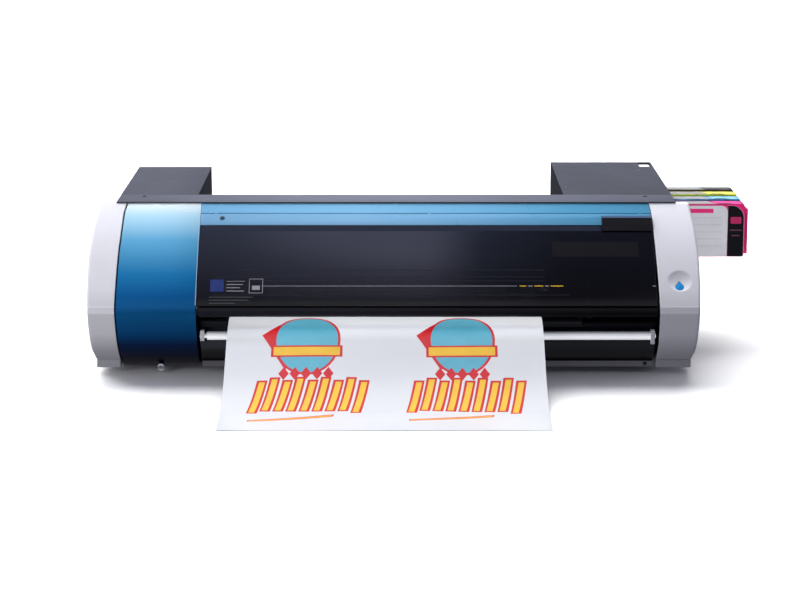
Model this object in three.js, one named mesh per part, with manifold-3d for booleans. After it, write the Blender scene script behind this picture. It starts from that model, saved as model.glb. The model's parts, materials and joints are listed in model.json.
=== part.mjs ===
// Desktop roll-fed vinyl printer and cutter, built as separate named pieces.
// Units are millimetres, +Z is up and -Y is the front, where the vinyl comes out.
// Every piece is drawn in the machine frame: X = 0 midway between the end caps,
// Y = 0 at the roof's front edge, and the table is at Z = TABLE. The group at the
// end moves the whole machine so that its origin is at the bottom centre of its box.

import * as THREE from 'three';
import { mergeVertices } from 'three/addons/utils/BufferGeometryUtils.js';
import Module from 'manifold-3d';

const wasm = await Module();
wasm.setup();

// ---------------------------------------------------------------- driving dimensions

const HALF_WIDTH = 508.1;            // centre line to the widest line of an end cap
const HEIGHT = 293;                  // top of the roof
const TABLE = 17;                    // the machine's feet stand here
const FRONT = -157.8;                // foremost line of the body, under the crease
const REAR_LEFT = 371.3;             // back of the left rear housing
const REAR_RIGHT = 425.4;            // back of the right rear housing
const ROOF_LEFT = -470;              // outer faces of roof and rear housings
const ROOF_RIGHT = 477.7;
const LOBE_LEFT = -336.7;            // inner faces of the two rear housings
const LOBE_RIGHT = 291.5;
const STRIP_BACK = 71.3;             // back edge of the roof's front strip
const CAP_LEFT_INNER = -459;
const CAP_RIGHT_INNER = 437;
const COVER_LEFT = -325.4;           // the swing cover's two ends
const COVER_RIGHT = 434;
const BOTTOM = 29.5;                 // underside of the end caps
const TRAY_TOP = 33;
const SHEET_METAL = 2;
const GAP = 0.3;                     // clearance between touching pieces

const MEDIA_LEFT = -272.8;           // edges of the vinyl
const MEDIA_RIGHT = 245.6;
const MEDIA_FRONT = -457;            // front edge of the vinyl on the table
const MEDIA_THICKNESS = 0.4;
const PLATEN_TOP = 118;

const PLATEN_FRONT = -128;
const GRIT = { y: 4, radius: 9 };
const BAR = { y: -133, z: 91.5, radius: 7.2 };
const ROLL = { y: 232, radius: 50, flange: 60, core: 25 };
const SHAFT = { spread: 42, z: 62, radius: 11 };
const BEAM = { front: 20, back: 58, bottom: 170, top: 240 };
const PULLEY = { y: 39, radius: 10, left: -440, right: 424, bottom: 242.5, top: 250.5 };
const CARTRIDGE = { front: 114, pitch: 49, thick: 29, bottom: 175, top: 269, inner: 400, outer: 611.5 };

// ---------------------------------------------------------------- front profile

// The section is two shallow arcs in Y and Z that meet at a crease.
const TOP = [1, 290.6];
const CREASE = [-155.7, 144.4];
const LOWER = [FRONT, 134];
const FOOT = [-91, 33];
const UPPER_RISE = 7.4;
const LOWER_RISE = 11.5;

function arc(a, b, rise, t0 = 0, t1 = 1, steps = 8) {
  const chord = Math.hypot(b[0] - a[0], b[1] - a[1]);
  const u = [(b[0] - a[0]) / chord, (b[1] - a[1]) / chord];
  const out = [u[1], -u[0]];
  const radius = (chord * chord / 4 + rise * rise) / (2 * rise);
  const centre = [0, 1].map((i) => (a[i] + b[i]) / 2 - out[i] * (radius - rise));
  const half = Math.asin(chord / 2 / radius);
  const points = [];
  for (let i = 0; i <= steps; i += 1) {
    const angle = half * (2 * (t0 + (t1 - t0) * i / steps) - 1);
    points.push([0, 1].map((k) => centre[k]
      + radius * (out[k] * Math.cos(angle) + u[k] * Math.sin(angle))));
  }
  return points;
}

const upperArc = (t0, t1, steps) => arc(TOP, CREASE, UPPER_RISE, t0, t1, steps);
const lowerArc = (t0, t1, steps) => arc(LOWER, FOOT, LOWER_RISE, t0, t1, steps);
const wholeFront = (end = 1) => [...upperArc(0, 1, 10), ...lowerArc(0, end, 8)];

// A polyline moved inwards by a distance, with mitred corners.
function inset(points, distance) {
  return points.map((p, i) => {
    const before = points[Math.max(i - 1, 0)];
    const after = points[Math.min(i + 1, points.length - 1)];
    const edges = [[before, p], [p, after]].map(([s, e]) => {
      const length = Math.hypot(e[0] - s[0], e[1] - s[1]);
      return length ? [(e[1] - s[1]) / length, -(e[0] - s[0]) / length] : null;
    });
    const n1 = edges[0] || edges[1];
    const n2 = edges[1] || edges[0];
    const scale = distance / (1 + n1[0] * n2[0] + n1[1] * n2[1]);
    return [p[0] - (n1[0] + n2[0]) * scale, p[1] - (n1[1] + n2[1]) * scale];
  });
}

const strip = (points, outer, inner) => [...inset(points, outer), ...inset(points, inner).reverse()];

// ---------------------------------------------------------------- solids

function prismX(outline, x0, x1) {
  const shape = new THREE.Shape(outline.map(([y, z]) => new THREE.Vector2(y, z)));
  const geometry = new THREE.ExtrudeGeometry(shape, { depth: x1 - x0, bevelEnabled: false });
  return geometry.applyMatrix4(new THREE.Matrix4().set(
    0, 0, 1, x0, 1, 0, 0, 0, 0, 1, 0, 0, 0, 0, 0, 1));
}

function prismZ(outline, z0, z1) {
  const shape = new THREE.Shape(outline.map(([x, y]) => new THREE.Vector2(x, y)));
  return new THREE.ExtrudeGeometry(shape, { depth: z1 - z0, bevelEnabled: false }).translate(0, 0, z0);
}

function prismY(outline, y0, y1) {
  const shape = new THREE.Shape(outline.map(([x, z]) => new THREE.Vector2(x, z)));
  return new THREE.ExtrudeGeometry(shape, { depth: y1 - y0, bevelEnabled: false })
    .rotateX(Math.PI / 2).translate(0, y1, 0);
}

function box([x0, x1], [y0, y1], [z0, z1]) {
  return new THREE.BoxGeometry(x1 - x0, y1 - y0, z1 - z0)
    .translate((x0 + x1) / 2, (y0 + y1) / 2, (z0 + z1) / 2);
}

// A round bar along one axis; at holds the other two coordinates in X, Y, Z order.
function rod(axis, radius, from, to, at, sides = 20) {
  const geometry = new THREE.CylinderGeometry(radius, radius, to - from, sides);
  const middle = (from + to) / 2;
  if (axis === 'x') return geometry.rotateZ(-Math.PI / 2).translate(middle, at[0], at[1]);
  if (axis === 'y') return geometry.translate(at[0], middle, at[1]);
  return geometry.rotateX(Math.PI / 2).translate(at[0], at[1], middle);
}

// A turned piece: [radius, position] pairs from end to end along one axis.
function turned(axis, profile, at, sides = 24) {
  const geometry = new THREE.LatheGeometry(profile.map(([r, s]) => new THREE.Vector2(r, s)), sides);
  if (axis === 'x') return geometry.rotateZ(-Math.PI / 2).translate(0, at[0], at[1]);
  if (axis === 'y') return geometry.translate(at[0], 0, at[1]);
  return geometry.rotateX(Math.PI / 2).translate(at[0], at[1], 0);
}

function toSolid(geometry) {
  const bare = geometry.clone();
  bare.deleteAttribute('normal');
  bare.deleteAttribute('uv');
  const merged = mergeVertices(bare, 1e-3);
  const index = merged.index.array;
  const kept = [];
  for (let i = 0; i < index.length; i += 3) {
    const [a, b, c] = [index[i], index[i + 1], index[i + 2]];
    if (a !== b && b !== c && c !== a) kept.push(a, b, c);
  }
  return new wasm.Manifold(new wasm.Mesh({
    numProp: 3,
    vertProperties: new Float32Array(merged.attributes.position.array),
    triVerts: new Uint32Array(kept),
  }));
}

function toGeometry(solid) {
  const mesh = solid.getMesh();
  const geometry = new THREE.BufferGeometry();
  geometry.setAttribute('position', new THREE.BufferAttribute(new Float32Array(mesh.vertProperties), 3));
  geometry.setIndex(new THREE.BufferAttribute(new Uint32Array(mesh.triVerts), 1));
  return geometry;
}

const join = (first, ...rest) => toGeometry(rest.reduce((s, g) => s.add(toSolid(g)), toSolid(first)));
const cut = (first, ...rest) => toGeometry(rest.reduce((s, g) => s.subtract(toSolid(g)), toSolid(first)));

const common = (a, b) => toGeometry(toSolid(a).intersect(toSolid(b)));

// ---------------------------------------------------------------- materials

const finish = (color, roughness, metalness) => new THREE.MeshStandardMaterial({ color, roughness, metalness });
const materials = {
  cap: finish(0xe6e6ec, 0.45, 0),
  blue: finish(0x4d9fd2, 0.35, 0.2),
  roof: finish(0x5b5d6b, 0.6, 0.1),
  black: finish(0x15151a, 0.4, 0),
  dark: finish(0x26262e, 0.5, 0),
  window: Object.assign(finish(0x1c1c24, 0.15, 0), { transparent: true, opacity: 0.7 }),
  steel: finish(0xb8bac2, 0.35, 1),
  chrome: finish(0xdedee4, 0.12, 1),
  aluminium: finish(0xa7a9b0, 0.4, 1),
  rail: finish(0x55565c, 0.5, 0.2),
  rubber: finish(0x1e1e20, 0.9, 0),
  vinyl: finish(0xeef0f5, 0.35, 0),
  light: finish(0x2a9fe0, 0.3, 0),
  magenta: finish(0xc4126f, 0.4, 0),
  cyan: finish(0x35a8de, 0.4, 0),
  yellow: finish(0xe8d524, 0.4, 0),
  keyBlack: finish(0x222226, 0.4, 0),
};

const machine = new THREE.Group();

function piece(name, geometry, material) {
  const mesh = new THREE.Mesh(geometry, materials[material]);
  mesh.name = name;
  machine.add(mesh);
}

// ---------------------------------------------------------------- base and frames

const TRAY_BOTTOM = 30;
const TRAY_FRONT = -72;
const TRAY_LEFT = CAP_LEFT_INNER + 3.5;

function baseTray() {
  const inner = GAP + SHEET_METAL;
  return prismZ([
    [TRAY_LEFT, TRAY_FRONT], [CAP_RIGHT_INNER - 1, TRAY_FRONT], [CAP_RIGHT_INNER - 1, 11],
    [ROOF_RIGHT - inner, 11], [ROOF_RIGHT - inner, REAR_RIGHT - inner],
    [LOBE_RIGHT + inner, REAR_RIGHT - inner], [LOBE_RIGHT + inner, REAR_LEFT - inner],
    [ROOF_LEFT + inner, REAR_LEFT - inner], [ROOF_LEFT + inner, 11], [TRAY_LEFT, 11],
  ], TRAY_BOTTOM, TRAY_TOP);
}
piece('base_tray', baseTray(), 'roof');

const FEET = {
  front_left: [-420, 0], front_right: [395, 0], rear_left: [-420, 330], rear_right: [430, 380],
};
for (const [place, at] of Object.entries(FEET)) {
  piece(`foot_${place}`, turned('z', [
    [0, TABLE], [15, TABLE], [17, TABLE + 2], [14.5, TRAY_BOTTOM - GAP], [0, TRAY_BOTTOM - GAP],
  ], at), 'rubber');
}

// Upright plates inside the end caps and beside the swing cover.
function framePlate(x0, x1, back) {
  const front = inset(wholeFront(), 9);
  return prismX([...front, [back, TRAY_TOP + GAP], [back, 284]], x0, x1);
}
const FRAME_BACK = 61.5;
piece('left_side_frame', framePlate(-464, -461, FRAME_BACK), 'steel');
piece('right_side_frame', framePlate(441, 444, FRAME_BACK), 'steel');

const PARTITION = [-331.6, -329.2];
piece('left_inner_frame', cut(
  framePlate(PARTITION[0], PARTITION[1], FRAME_BACK),
  box([-340, -320], [BEAM.front - 5, BEAM.back + 1], [BEAM.bottom - 1, 262]),
  rod('x', 6, -340, -320, [GRIT.y, PLATEN_TOP - GRIT.radius]),
), 'steel');

// ---------------------------------------------------------------- end caps

const CAP_BACK = 10;
const CAP_WALL = 3;
const PLINTH_INSET = 10.8;            // from the widest line to the plinth's outer face
const PLINTH_BACK = 3;               // from the end of the cap's lower arc back to the plinth
const CAP_END = 0.85;                // fraction of the lower arc where the plinth starts
const EDGE = 5;                      // size of the cap's softened outer edge
const DISH = { x: 473.3, y: -123.5, radius: 19.8, depth: 3.4 };
const DISH_SPHERE = (DISH.radius ** 2 + DISH.depth ** 2) / (2 * DISH.depth);
const BUTTON = { x: 472.3, y: -130.3, radius: 7, tip: 12 };

// Direction out of the front surface at the dish, in Y and Z.
const DISH_OUT = [-0.707, 0.707];

// How far the outer face stands back from its widest line, at each height.
const BARREL = [[10, BOTTOM - 5], [9, 50], [7, 58], [5.4, 67], [4.6, 80], [3.8, 110], [3.6, 132], [3, 149],
  [2.2, 158], [1.3, 170], [0.7, 185], [0, 208], [0.5, 226], [1.3, 238], [2.2, 251], [3.8, 263], [6.4, 278],
  [8.6, HEIGHT]];

// The inner edges of the two caps, as X at each height.
const INNER_LEFT = [[-457, BOTTOM - 5], [-457.2, 45], [-458, 60], [-458.8, 80], [-459.5, 130], [-459.8, 170],
  [-459, 225], [-457.4, 250], [-456.8, 262], [-455.7, 278], [-454, 284], [-451.5, HEIGHT]];
const INNER_RIGHT = [[438, BOTTOM - 5], [439, 45], [439.3, 60], [439.5, 80], [438.5, 130], [438.1, 170],
  [436.7, 225], [435.7, 250], [435.3, 262], [434.2, 278], [432.8, 284], [430.5, HEIGHT]];

// Cuts a front piece back to stand clear of a cap's inner edge.
const clearOfCap = (geometry, edge, gap) => common(geometry, prismY([
  ...edge.map(([x, z]) => [x - Math.sign(x) * gap, z]),
  [edge[0][0] < 0 ? HALF_WIDTH : -HALF_WIDTH, HEIGHT], [edge[0][0] < 0 ? HALF_WIDTH : -HALF_WIDTH, BOTTOM - 5],
].map((p, i, all) => (edge === INNER_LEFT ? all[all.length - 1 - i] : p)), -210, 80));

function endCap(side) {
  const inner = side < 0 ? CAP_LEFT_INNER : CAP_RIGHT_INNER;
  const outer = side * HALF_WIDTH;
  const edge = side < 0 ? INNER_LEFT : INNER_RIGHT;
  const range = (a, b) => [Math.min(a, b), Math.max(a, b)];
  const arcs = [...upperArc(0, 1, 12), ...lowerArc(0, CAP_END, 8)];
  const section = (depth) => {
    const front = inset(arcs, depth);
    const end = front[front.length - 1];
    return [...front, [CAP_BACK, end[1]], [CAP_BACK, front[0][1]]];
  };
  // Each layer is a section cut off by the slightly barrel-shaped outer face and the curved inner edge.
  const layers = [[0, EDGE], [0.7, 2.8], [1.8, 1.3], [3.4, 0.3], [4.6, 0]].map(([depth, reach]) => {
    const outline = [...edge, ...BARREL.map(([back, z]) => [outer - side * (back + reach), z]).reverse()];
    return common(prismX(section(depth), ...range(inner - side * 9, outer + side)),
      prismY(side < 0 ? outline.reverse() : outline, -200, CAP_BACK + 5));
  });
  const end = arcs[arcs.length - 1];
  const plinthFront = end[0] + PLINTH_BACK;
  const foot = edge[1][0];
  const plinth = box(range(foot, outer - side * PLINTH_INSET), [plinthFront, CAP_BACK], [BOTTOM, end[1] + 4]);
  const hollow = inset(arcs, CAP_WALL);
  const hollowEnd = hollow[hollow.length - 1];
  const hollowTo = (reach, back) => prismX([
    ...hollow, [plinthFront + CAP_WALL, hollowEnd[1]], [plinthFront + CAP_WALL, BOTTOM + CAP_WALL],
    [back, BOTTOM + CAP_WALL], [back, hollow[0][1]],
  ], ...range(inner - side * 12, reach));
  const housing = side < 0 ? ROOF_LEFT : ROOF_RIGHT;
  return cut(
    join(...layers, plinth),
    hollowTo(outer - side * (PLINTH_INSET + CAP_WALL), CAP_BACK - CAP_WALL),
    hollowTo(housing - side * SHEET_METAL, CAP_BACK + 5),
  );
}

// The front surface point in line with the dish, found on the upper arc.
function surfacePoint(y) {
  const points = upperArc(0, 1, 200);
  return points.reduce((best, p) => (Math.abs(p[0] - y) < Math.abs(best[0] - y) ? p : best));
}
const dishPoint = surfacePoint(DISH.y);
const buttonPoint = surfacePoint(BUTTON.y);

function alongDish(geometry, x, point, out) {
  return geometry.rotateX(Math.atan2(out[1], out[0])).translate(x, point[0], point[1]);
}

const dishBall = new THREE.SphereGeometry(DISH_SPHERE, 48, 32).translate(
  DISH.x, dishPoint[0] + DISH_OUT[0] * (DISH_SPHERE - DISH.depth),
  dishPoint[1] + DISH_OUT[1] * (DISH_SPHERE - DISH.depth));

// A pad behind the dish keeps the cap's wall whole, and a well in it takes the button.
const dishPad = alongDish(rod('y', DISH.radius + 1.5, -9.5, -1.2, [0, 0], 32), DISH.x, dishPoint, DISH_OUT);

// The button is drop-shaped: a round foot with a tip pointing up the panel.
function dropOutline(grow) {
  const radius = BUTTON.radius + grow;
  const tip = BUTTON.tip + 2 * grow;
  const open = Math.acos(radius / tip);
  const points = [[0, tip]];
  for (let i = 0; i <= 20; i += 1) {
    const angle = Math.PI / 2 + open + (2 * Math.PI - 2 * open) * i / 20;
    points.push([radius * Math.cos(angle), radius * Math.sin(angle)]);
  }
  return points.map(([x, z]) => [x, -z]).reverse();
}
const drop = (grow, y0, y1) => alongDish(prismY(dropOutline(grow), y0, y1), BUTTON.x, buttonPoint, DISH_OUT);
const buttonWell = drop(GAP, -14, 6);

piece('left_end_cap', endCap(-1), 'cap');
piece('right_end_cap', cut(join(endCap(1), dishPad), dishBall, buttonWell), 'cap');

piece('power_button', join(drop(0, -7.5, -3), drop(-0.8, -4, -2.2)), 'light');

// ---------------------------------------------------------------- fixed front panels

const LEFT_COVER = [CAP_LEFT_INNER + 1.6, -326];
const SKIN = 2.5;
const COVER_END = 1.067;             // the cover runs on a little past the end of the lower arc
const COVER_SCREW = { x: -390.6, z: 28.5, shank: 4 };

piece('left_front_cover', clearOfCap(cut(
  prismX(strip(wholeFront(COVER_END), 0, 8), ...LEFT_COVER),
  prismX(strip(wholeFront(COVER_END + 0.05), SKIN, 12), LEFT_COVER[0] + SKIN, LEFT_COVER[1] - SKIN),
  rod('y', COVER_SCREW.shank + 0.5, -120, -60, [COVER_SCREW.x, COVER_SCREW.z], 20),
), INNER_LEFT, 2.4), 'blue');

piece('left_cover_screw', turned('y', [[0, -98], [3, -98], [3, -99.4], [4.6, -100], [6.4, -99],
  [6.4, -96], [COVER_SCREW.shank, -95], [COVER_SCREW.shank, TRAY_FRONT - GAP], [0, TRAY_FRONT - GAP]],
[COVER_SCREW.x, COVER_SCREW.z]), 'chrome');

// Fractions of the upper arc where the blue strips and the window start and end.
const HINGE_AT = 0.12;
const WINDOW_AT = 0.235;
const COVER_THICK = 3.2;
const hingeOuter = upperArc(HINGE_AT, HINGE_AT, 1)[0];
const arcOut = (t) => {
  const [a, b] = upperArc(t - 0.001, t + 0.001, 1);
  const length = Math.hypot(b[0] - a[0], b[1] - a[1]);
  return [(b[1] - a[1]) / length, -(b[0] - a[0]) / length];
};
const hingeOut = arcOut(HINGE_AT);
const HINGE = [0, 1].map((k) => hingeOuter[k] - hingeOut[k] * COVER_THICK / 2);
const LUGS = [-300, 60, 415];
const LUG_HALF = 3;
const UPPER_LENGTH = 214;            // length of the whole upper arc

const railEnd = HINGE_AT - (COVER_THICK / 2 + 0.5) / UPPER_LENGTH;
const topRailSection = strip(upperArc(0.003, railEnd, 4), 0, COVER_THICK);
const lugs = LUGS.map((x) => cut(
  join(
    rod('x', COVER_THICK / 2, x - LUG_HALF, x + LUG_HALF, HINGE, 16),
    prismX(strip(upperArc(railEnd - 0.02, HINGE_AT, 2), 0.1, COVER_THICK - 0.1), x - LUG_HALF, x + LUG_HALF),
  ),
  rod('x', 1.05, x - 5, x + 5, HINGE, 12),
));
piece('top_front_rail', clearOfCap(join(
  prismX(topRailSection, LEFT_COVER[1] + 0.6, CAP_RIGHT_INNER - 0.6), ...lugs), INNER_RIGHT, 0.8), 'blue');

// ---------------------------------------------------------------- swing cover

function coverTopRail() {
  const section = strip(upperArc(HINGE_AT, WINDOW_AT - 0.0008, 5), 0, COVER_THICK);
  const bar = join(
    prismX(section, COVER_LEFT, COVER_RIGHT),
    rod('x', COVER_THICK / 2, COVER_LEFT, COVER_RIGHT, HINGE, 16));
  const notches = LUGS.map((x) => rod('x', COVER_THICK / 2 + 0.5, x - LUG_HALF - 0.5, x + LUG_HALF + 0.5, HINGE));
  const pins = LUGS.map((x) => rod('x', 0.75, x - LUG_HALF - 2, x + LUG_HALF + 2, HINGE, 12));
  return join(cut(bar, ...notches), ...pins);
}
piece('cover_top_rail', clearOfCap(coverTopRail(), INNER_RIGHT, 1), 'blue');
piece('cover_window', prismX(
  strip(upperArc(WINDOW_AT + 0.0008, 0.988, 10), 0, COVER_THICK), COVER_LEFT, COVER_RIGHT), 'window');

// The grip is a ledge with a flat top and a stepped front that stands on the rail and the window.
const GRIP = { x0: 349.5, from: 0.138, step: 0.25, to: 0.298, reach: 18 };
const gripFoot = inset(upperArc(GRIP.from, GRIP.to, 6), -GAP);
const [gripTop, gripStep, gripEnd] = [gripFoot[0], upperArc(GRIP.step, GRIP.step, 1)[0], gripFoot[6]];
piece('cover_grip', prismX([
  ...gripFoot, [gripEnd[0] - 2, gripEnd[1] + 1], [gripStep[0] - 4.5, gripStep[1] + 0.5],
  [gripStep[0] - 3, gripStep[1] + 1.5], [gripTop[0] - GRIP.reach - 0.6, gripTop[1] - 2.6],
  [gripTop[0] - GRIP.reach + 1, gripTop[1] - 0.8],
], GRIP.x0, COVER_RIGHT - 0.4), 'black');

// ---------------------------------------------------------------- roof and rear housings

const ROOF_UNDER = HEIGHT - SHEET_METAL;
piece('roof_front_panel', join(
  box([ROOF_LEFT, ROOF_RIGHT], [0, STRIP_BACK], [ROOF_UNDER, HEIGHT]),
  box([ROOF_LEFT + 12, ROOF_RIGHT - 12], [STRIP_BACK - 2, STRIP_BACK], [ROOF_UNDER - 5, HEIGHT]),
), 'roof');

const LOBE_FRONT = STRIP_BACK + GAP;
const SHAFT_Y = [ROLL.y - SHAFT.spread, ROLL.y + SHAFT.spread];
const JOURNAL = 6;

function rearCover(outer, inner, back) {
  const side = Math.sign(outer - inner);
  const range = (a, b) => [Math.min(a, b), Math.max(a, b)];
  const shell = cut(
    box(range(outer, inner), [LOBE_FRONT, back], [TRAY_TOP + GAP, HEIGHT]),
    box(range(outer - side * SHEET_METAL, inner + side * SHEET_METAL),
      [LOBE_FRONT - 10, back - SHEET_METAL], [0, ROOF_UNDER]),
    ...SHAFT_Y.map((y) => rod('x', JOURNAL + 0.4, ...range(inner - side * 5, inner + side * 5), [y, SHAFT.z])),
  );
  return join(shell, box(range(outer, outer - side * SHEET_METAL),
    [CAP_BACK + 0.6, LOBE_FRONT + 1], [TRAY_TOP + GAP, ROOF_UNDER - GAP]));
}

const FAN = { x: -405, z: 190, radius: 34 };
const INLET = { x: [-424, -392], z: [60, 86] };
const ventSlots = [-24, -12, 0, 12, 24].map((dx) => {
  const half = Math.sqrt(FAN.radius ** 2 - dx ** 2) - 3;
  return box([FAN.x + dx - 3, FAN.x + dx + 3], [REAR_LEFT - 10, REAR_LEFT + 10], [FAN.z - half, FAN.z + half]);
});
piece('rear_left_cover', cut(
  rearCover(ROOF_LEFT, LOBE_LEFT, REAR_LEFT), ...ventSlots,
  box([INLET.x[0] - GAP, INLET.x[1] + GAP], [REAR_LEFT - 10, REAR_LEFT + 10], [INLET.z[0] - GAP, INLET.z[1] + GAP]),
), 'roof');

const BAY = { y: [108, 295], z: [169, 277] };
piece('rear_right_cover', cut(
  rearCover(ROOF_RIGHT, LOBE_RIGHT, REAR_RIGHT),
  box([452, 474.3], [372, REAR_RIGHT - SHEET_METAL], [280, 300]),
  box([460, 490], BAY.y, BAY.z),
), 'roof');

const LEVER = { x: [-316, -306], y: 56, z: 154, radius: 5 };
piece('rear_centre_panel', cut(
  box([LOBE_LEFT + GAP, LOBE_RIGHT - GAP], [LOBE_FRONT + 0.2, LOBE_FRONT + 0.2 + SHEET_METAL], [134, ROOF_UNDER - 6]),
  box([LEVER.x[0] - 3, LEVER.x[1] + 3], [60, 90], [145, 200]),
), 'roof');

const GUIDE_BACK = 98;
piece('rear_media_guide', prismX([
  [62, TRAY_TOP + GAP], [GUIDE_BACK, TRAY_TOP + GAP], [GUIDE_BACK, 108], [GUIDE_BACK - 2.5, 114],
  [GUIDE_BACK - 8, PLATEN_TOP], [62, PLATEN_TOP], [62, 112], [90, 104], [90, 40], [62, 40],
], LOBE_LEFT + GAP, LOBE_RIGHT - GAP), 'dark');

// ---------------------------------------------------------------- platen, outlet and lower front

const PLATEN = [-320.5, 312];
const ROLLER_SLOT = GRIT.radius + 1.2;
piece('front_platen', prismX([
  [GRIT.y - ROLLER_SLOT, PLATEN_TOP], [PLATEN_FRONT + 6, PLATEN_TOP], [PLATEN_FRONT + 2, PLATEN_TOP - 2],
  [PLATEN_FRONT, PLATEN_TOP - 6], [PLATEN_FRONT, 105], [PLATEN_FRONT + 3, 105],
  [PLATEN_FRONT + 6, 110], [GRIT.y - ROLLER_SLOT, 110],
], ...PLATEN), 'dark');
piece('rear_platen', box(PLATEN, [GRIT.y + ROLLER_SLOT, 61.7], [110, PLATEN_TOP]), 'dark');

const OUTLET = [-321, COVER_RIGHT];
piece('outlet_lip', prismX([
  [CREASE[0] - 0.2, CREASE[1] - 1.6], [FRONT, LOWER[1]], [FRONT + 0.6, 128.5],
  [FRONT + 12, 131], [FRONT + 14, CREASE[1] - 1.6],
], ...OUTLET), 'black');

const LOWER_INSET = 4;
const lowerAt = (z) => {
  const points = lowerArc(0, 1, 100);
  let best = 0;
  points.forEach((p, i) => { if (Math.abs(p[1] - z) < Math.abs(points[best][1] - z)) best = i; });
  return best / 100;
};
const FASCIA = [lowerAt(78), lowerAt(36.5)];
piece('lower_front_panel', join(
  prismX(strip(lowerArc(...FASCIA, 5), LOWER_INSET, LOWER_INSET + 2.5), ...OUTLET),
  box(OUTLET, [-134, -112], [80, 82.5]),
  box(OUTLET, [-114.5, -112], [80, 104]),
  prismX([[-114.5, 103], [-127, 105], [-127, 112], [-124, 116.5], [-120, PLATEN_TOP], [-95, PLATEN_TOP],
    [-95, PLATEN_TOP - 3], [-112, PLATEN_TOP - 3], [-112, 103]], PLATEN[1] + 0.5, OUTLET[1]),
), 'black');
piece('bottom_front_rail', prismX([[-96, 39.2], [-96, 30], [-95.3, 29.3], [-90, 29.3], [-90, 39.2]], ...OUTLET), 'rail');
piece('media_guide_bar', turned('x', [
  [0, -321], [4, -321], [4, -310], [BAR.radius, -309], [BAR.radius, 426], [4, 427], [4, 434], [0, 434],
], [BAR.y, BAR.z]), 'chrome');

// ---------------------------------------------------------------- carriage drive

piece('rail_beam', prismX([
  [BEAM.front, BEAM.bottom], [BEAM.back, BEAM.bottom], [BEAM.back, BEAM.bottom + 3],
  [BEAM.front + 3, BEAM.bottom + 3], [BEAM.front + 3, BEAM.top - 3], [BEAM.back, BEAM.top - 3],
  [BEAM.back, BEAM.top], [BEAM.front, BEAM.top], [BEAM.front, 210], [BEAM.front - 4, 208],
  [BEAM.front - 4, 198], [BEAM.front, 196],
], -460.6, 440.6), 'aluminium');

const CARRIAGE = { x0: 318, x1: 424 };
piece('print_carriage', join(
  prismX([
    [BEAM.front - 6, 150], [BEAM.front - 6, 236], [-26, 236], [-74, 188], [-74, 136],
    [-16, 136], [-16, 150],
  ], CARRIAGE.x0, CARRIAGE.x1),
  prismX([[BEAM.front - 7, 228], [BEAM.front - 7, 253], [PULLEY.y - PULLEY.radius - 1.8, 253],
    [PULLEY.y - PULLEY.radius - 1.8, BEAM.top + 1], [BEAM.front - 5.7, BEAM.top + 1],
    [BEAM.front - 5.7, 228]], 350, 392),
), 'black');
piece('print_head', join(
  box([344, 398], [-66, -20], [127, 136 - GAP]), box([352, 390], [-62, -24], [122, 128])), 'steel');

piece('tool_holder', turned('z', [
  [0, 121.6], [0.8, 121.6], [1.2, 125], [4.5, 127], [6.5, 129], [6.5, 160], [8.5, 161],
  [8.5, 176], [6, 178], [0, 178],
], [331, -84]), 'chrome');

piece('carriage_belt', cut(
  join(
    box([PULLEY.left, PULLEY.right], [PULLEY.y - PULLEY.radius - 1.5, PULLEY.y + PULLEY.radius + 1.5], [243.5, 249.5]),
    rod('z', PULLEY.radius + 1.5, 243.5, 249.5, [PULLEY.left, PULLEY.y], 24),
    rod('z', PULLEY.radius + 1.5, 243.5, 249.5, [PULLEY.right, PULLEY.y], 24)),
  box([PULLEY.left, PULLEY.right], [PULLEY.y - PULLEY.radius - 0.3, PULLEY.y + PULLEY.radius + 0.3], [240, 252]),
  rod('z', PULLEY.radius + 0.3, 240, 252, [PULLEY.left, PULLEY.y], 24),
  rod('z', PULLEY.radius + 0.3, 240, 252, [PULLEY.right, PULLEY.y], 24),
), 'rubber');

const pulleyProfile = [
  [0, PULLEY.bottom - 2.1], [4, PULLEY.bottom - 2.1], [4, PULLEY.bottom], [PULLEY.radius, PULLEY.bottom],
  [PULLEY.radius, PULLEY.top], [4, PULLEY.top], [4, PULLEY.top + 2], [0, PULLEY.top + 2]];
piece('belt_drive_pulley', turned('z', pulleyProfile, [PULLEY.right, PULLEY.y]), 'steel');
piece('belt_idler_pulley', turned('z', pulleyProfile, [PULLEY.left, PULLEY.y]), 'steel');
piece('carriage_motor', turned('z', [[0, 253], [6, 253], [6, 254], [16, 255], [16, 283], [14, 285], [0, 285]],
  [PULLEY.right, PULLEY.y]), 'dark');

piece('capping_station', join(
  box([340, 402], [-70, -16], [66, 112]),
  cut(box([348, 394], [-66, -20], [110, 121.4]), box([351, 391], [-63, -23], [116, 130])),
), 'dark');

// ---------------------------------------------------------------- media feed

// Straight-sided teeth around a pitch circle, with room for a running mesh.
const GEAR_MODULE = 1.5;
function gearOutline(teeth, centre, phase) {
  const pitch = GEAR_MODULE * teeth / 2;
  const step = 2 * Math.PI / teeth;
  const points = [];
  for (let i = 0; i < teeth; i += 1) {
    for (const [turn, radius] of [[-0.27, pitch - 1.7], [-0.11, pitch + 1.1], [0.11, pitch + 1.1], [0.27, pitch - 1.7]]) {
      const angle = (i + turn) * step + phase;
      points.push([centre[0] + radius * Math.cos(angle), centre[1] + radius * Math.sin(angle)]);
    }
  }
  return points;
}

const GRIT_Z = PLATEN_TOP - GRIT.radius;
const FEED_TEETH = 32;
const PINION_TEETH = 12;
const GEAR_X = [-344, -336];
const gearDistance = GEAR_MODULE * (FEED_TEETH + PINION_TEETH) / 2 + 0.25;
const pinionCentre = [GRIT.y - gearDistance, GRIT_Z];

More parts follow.
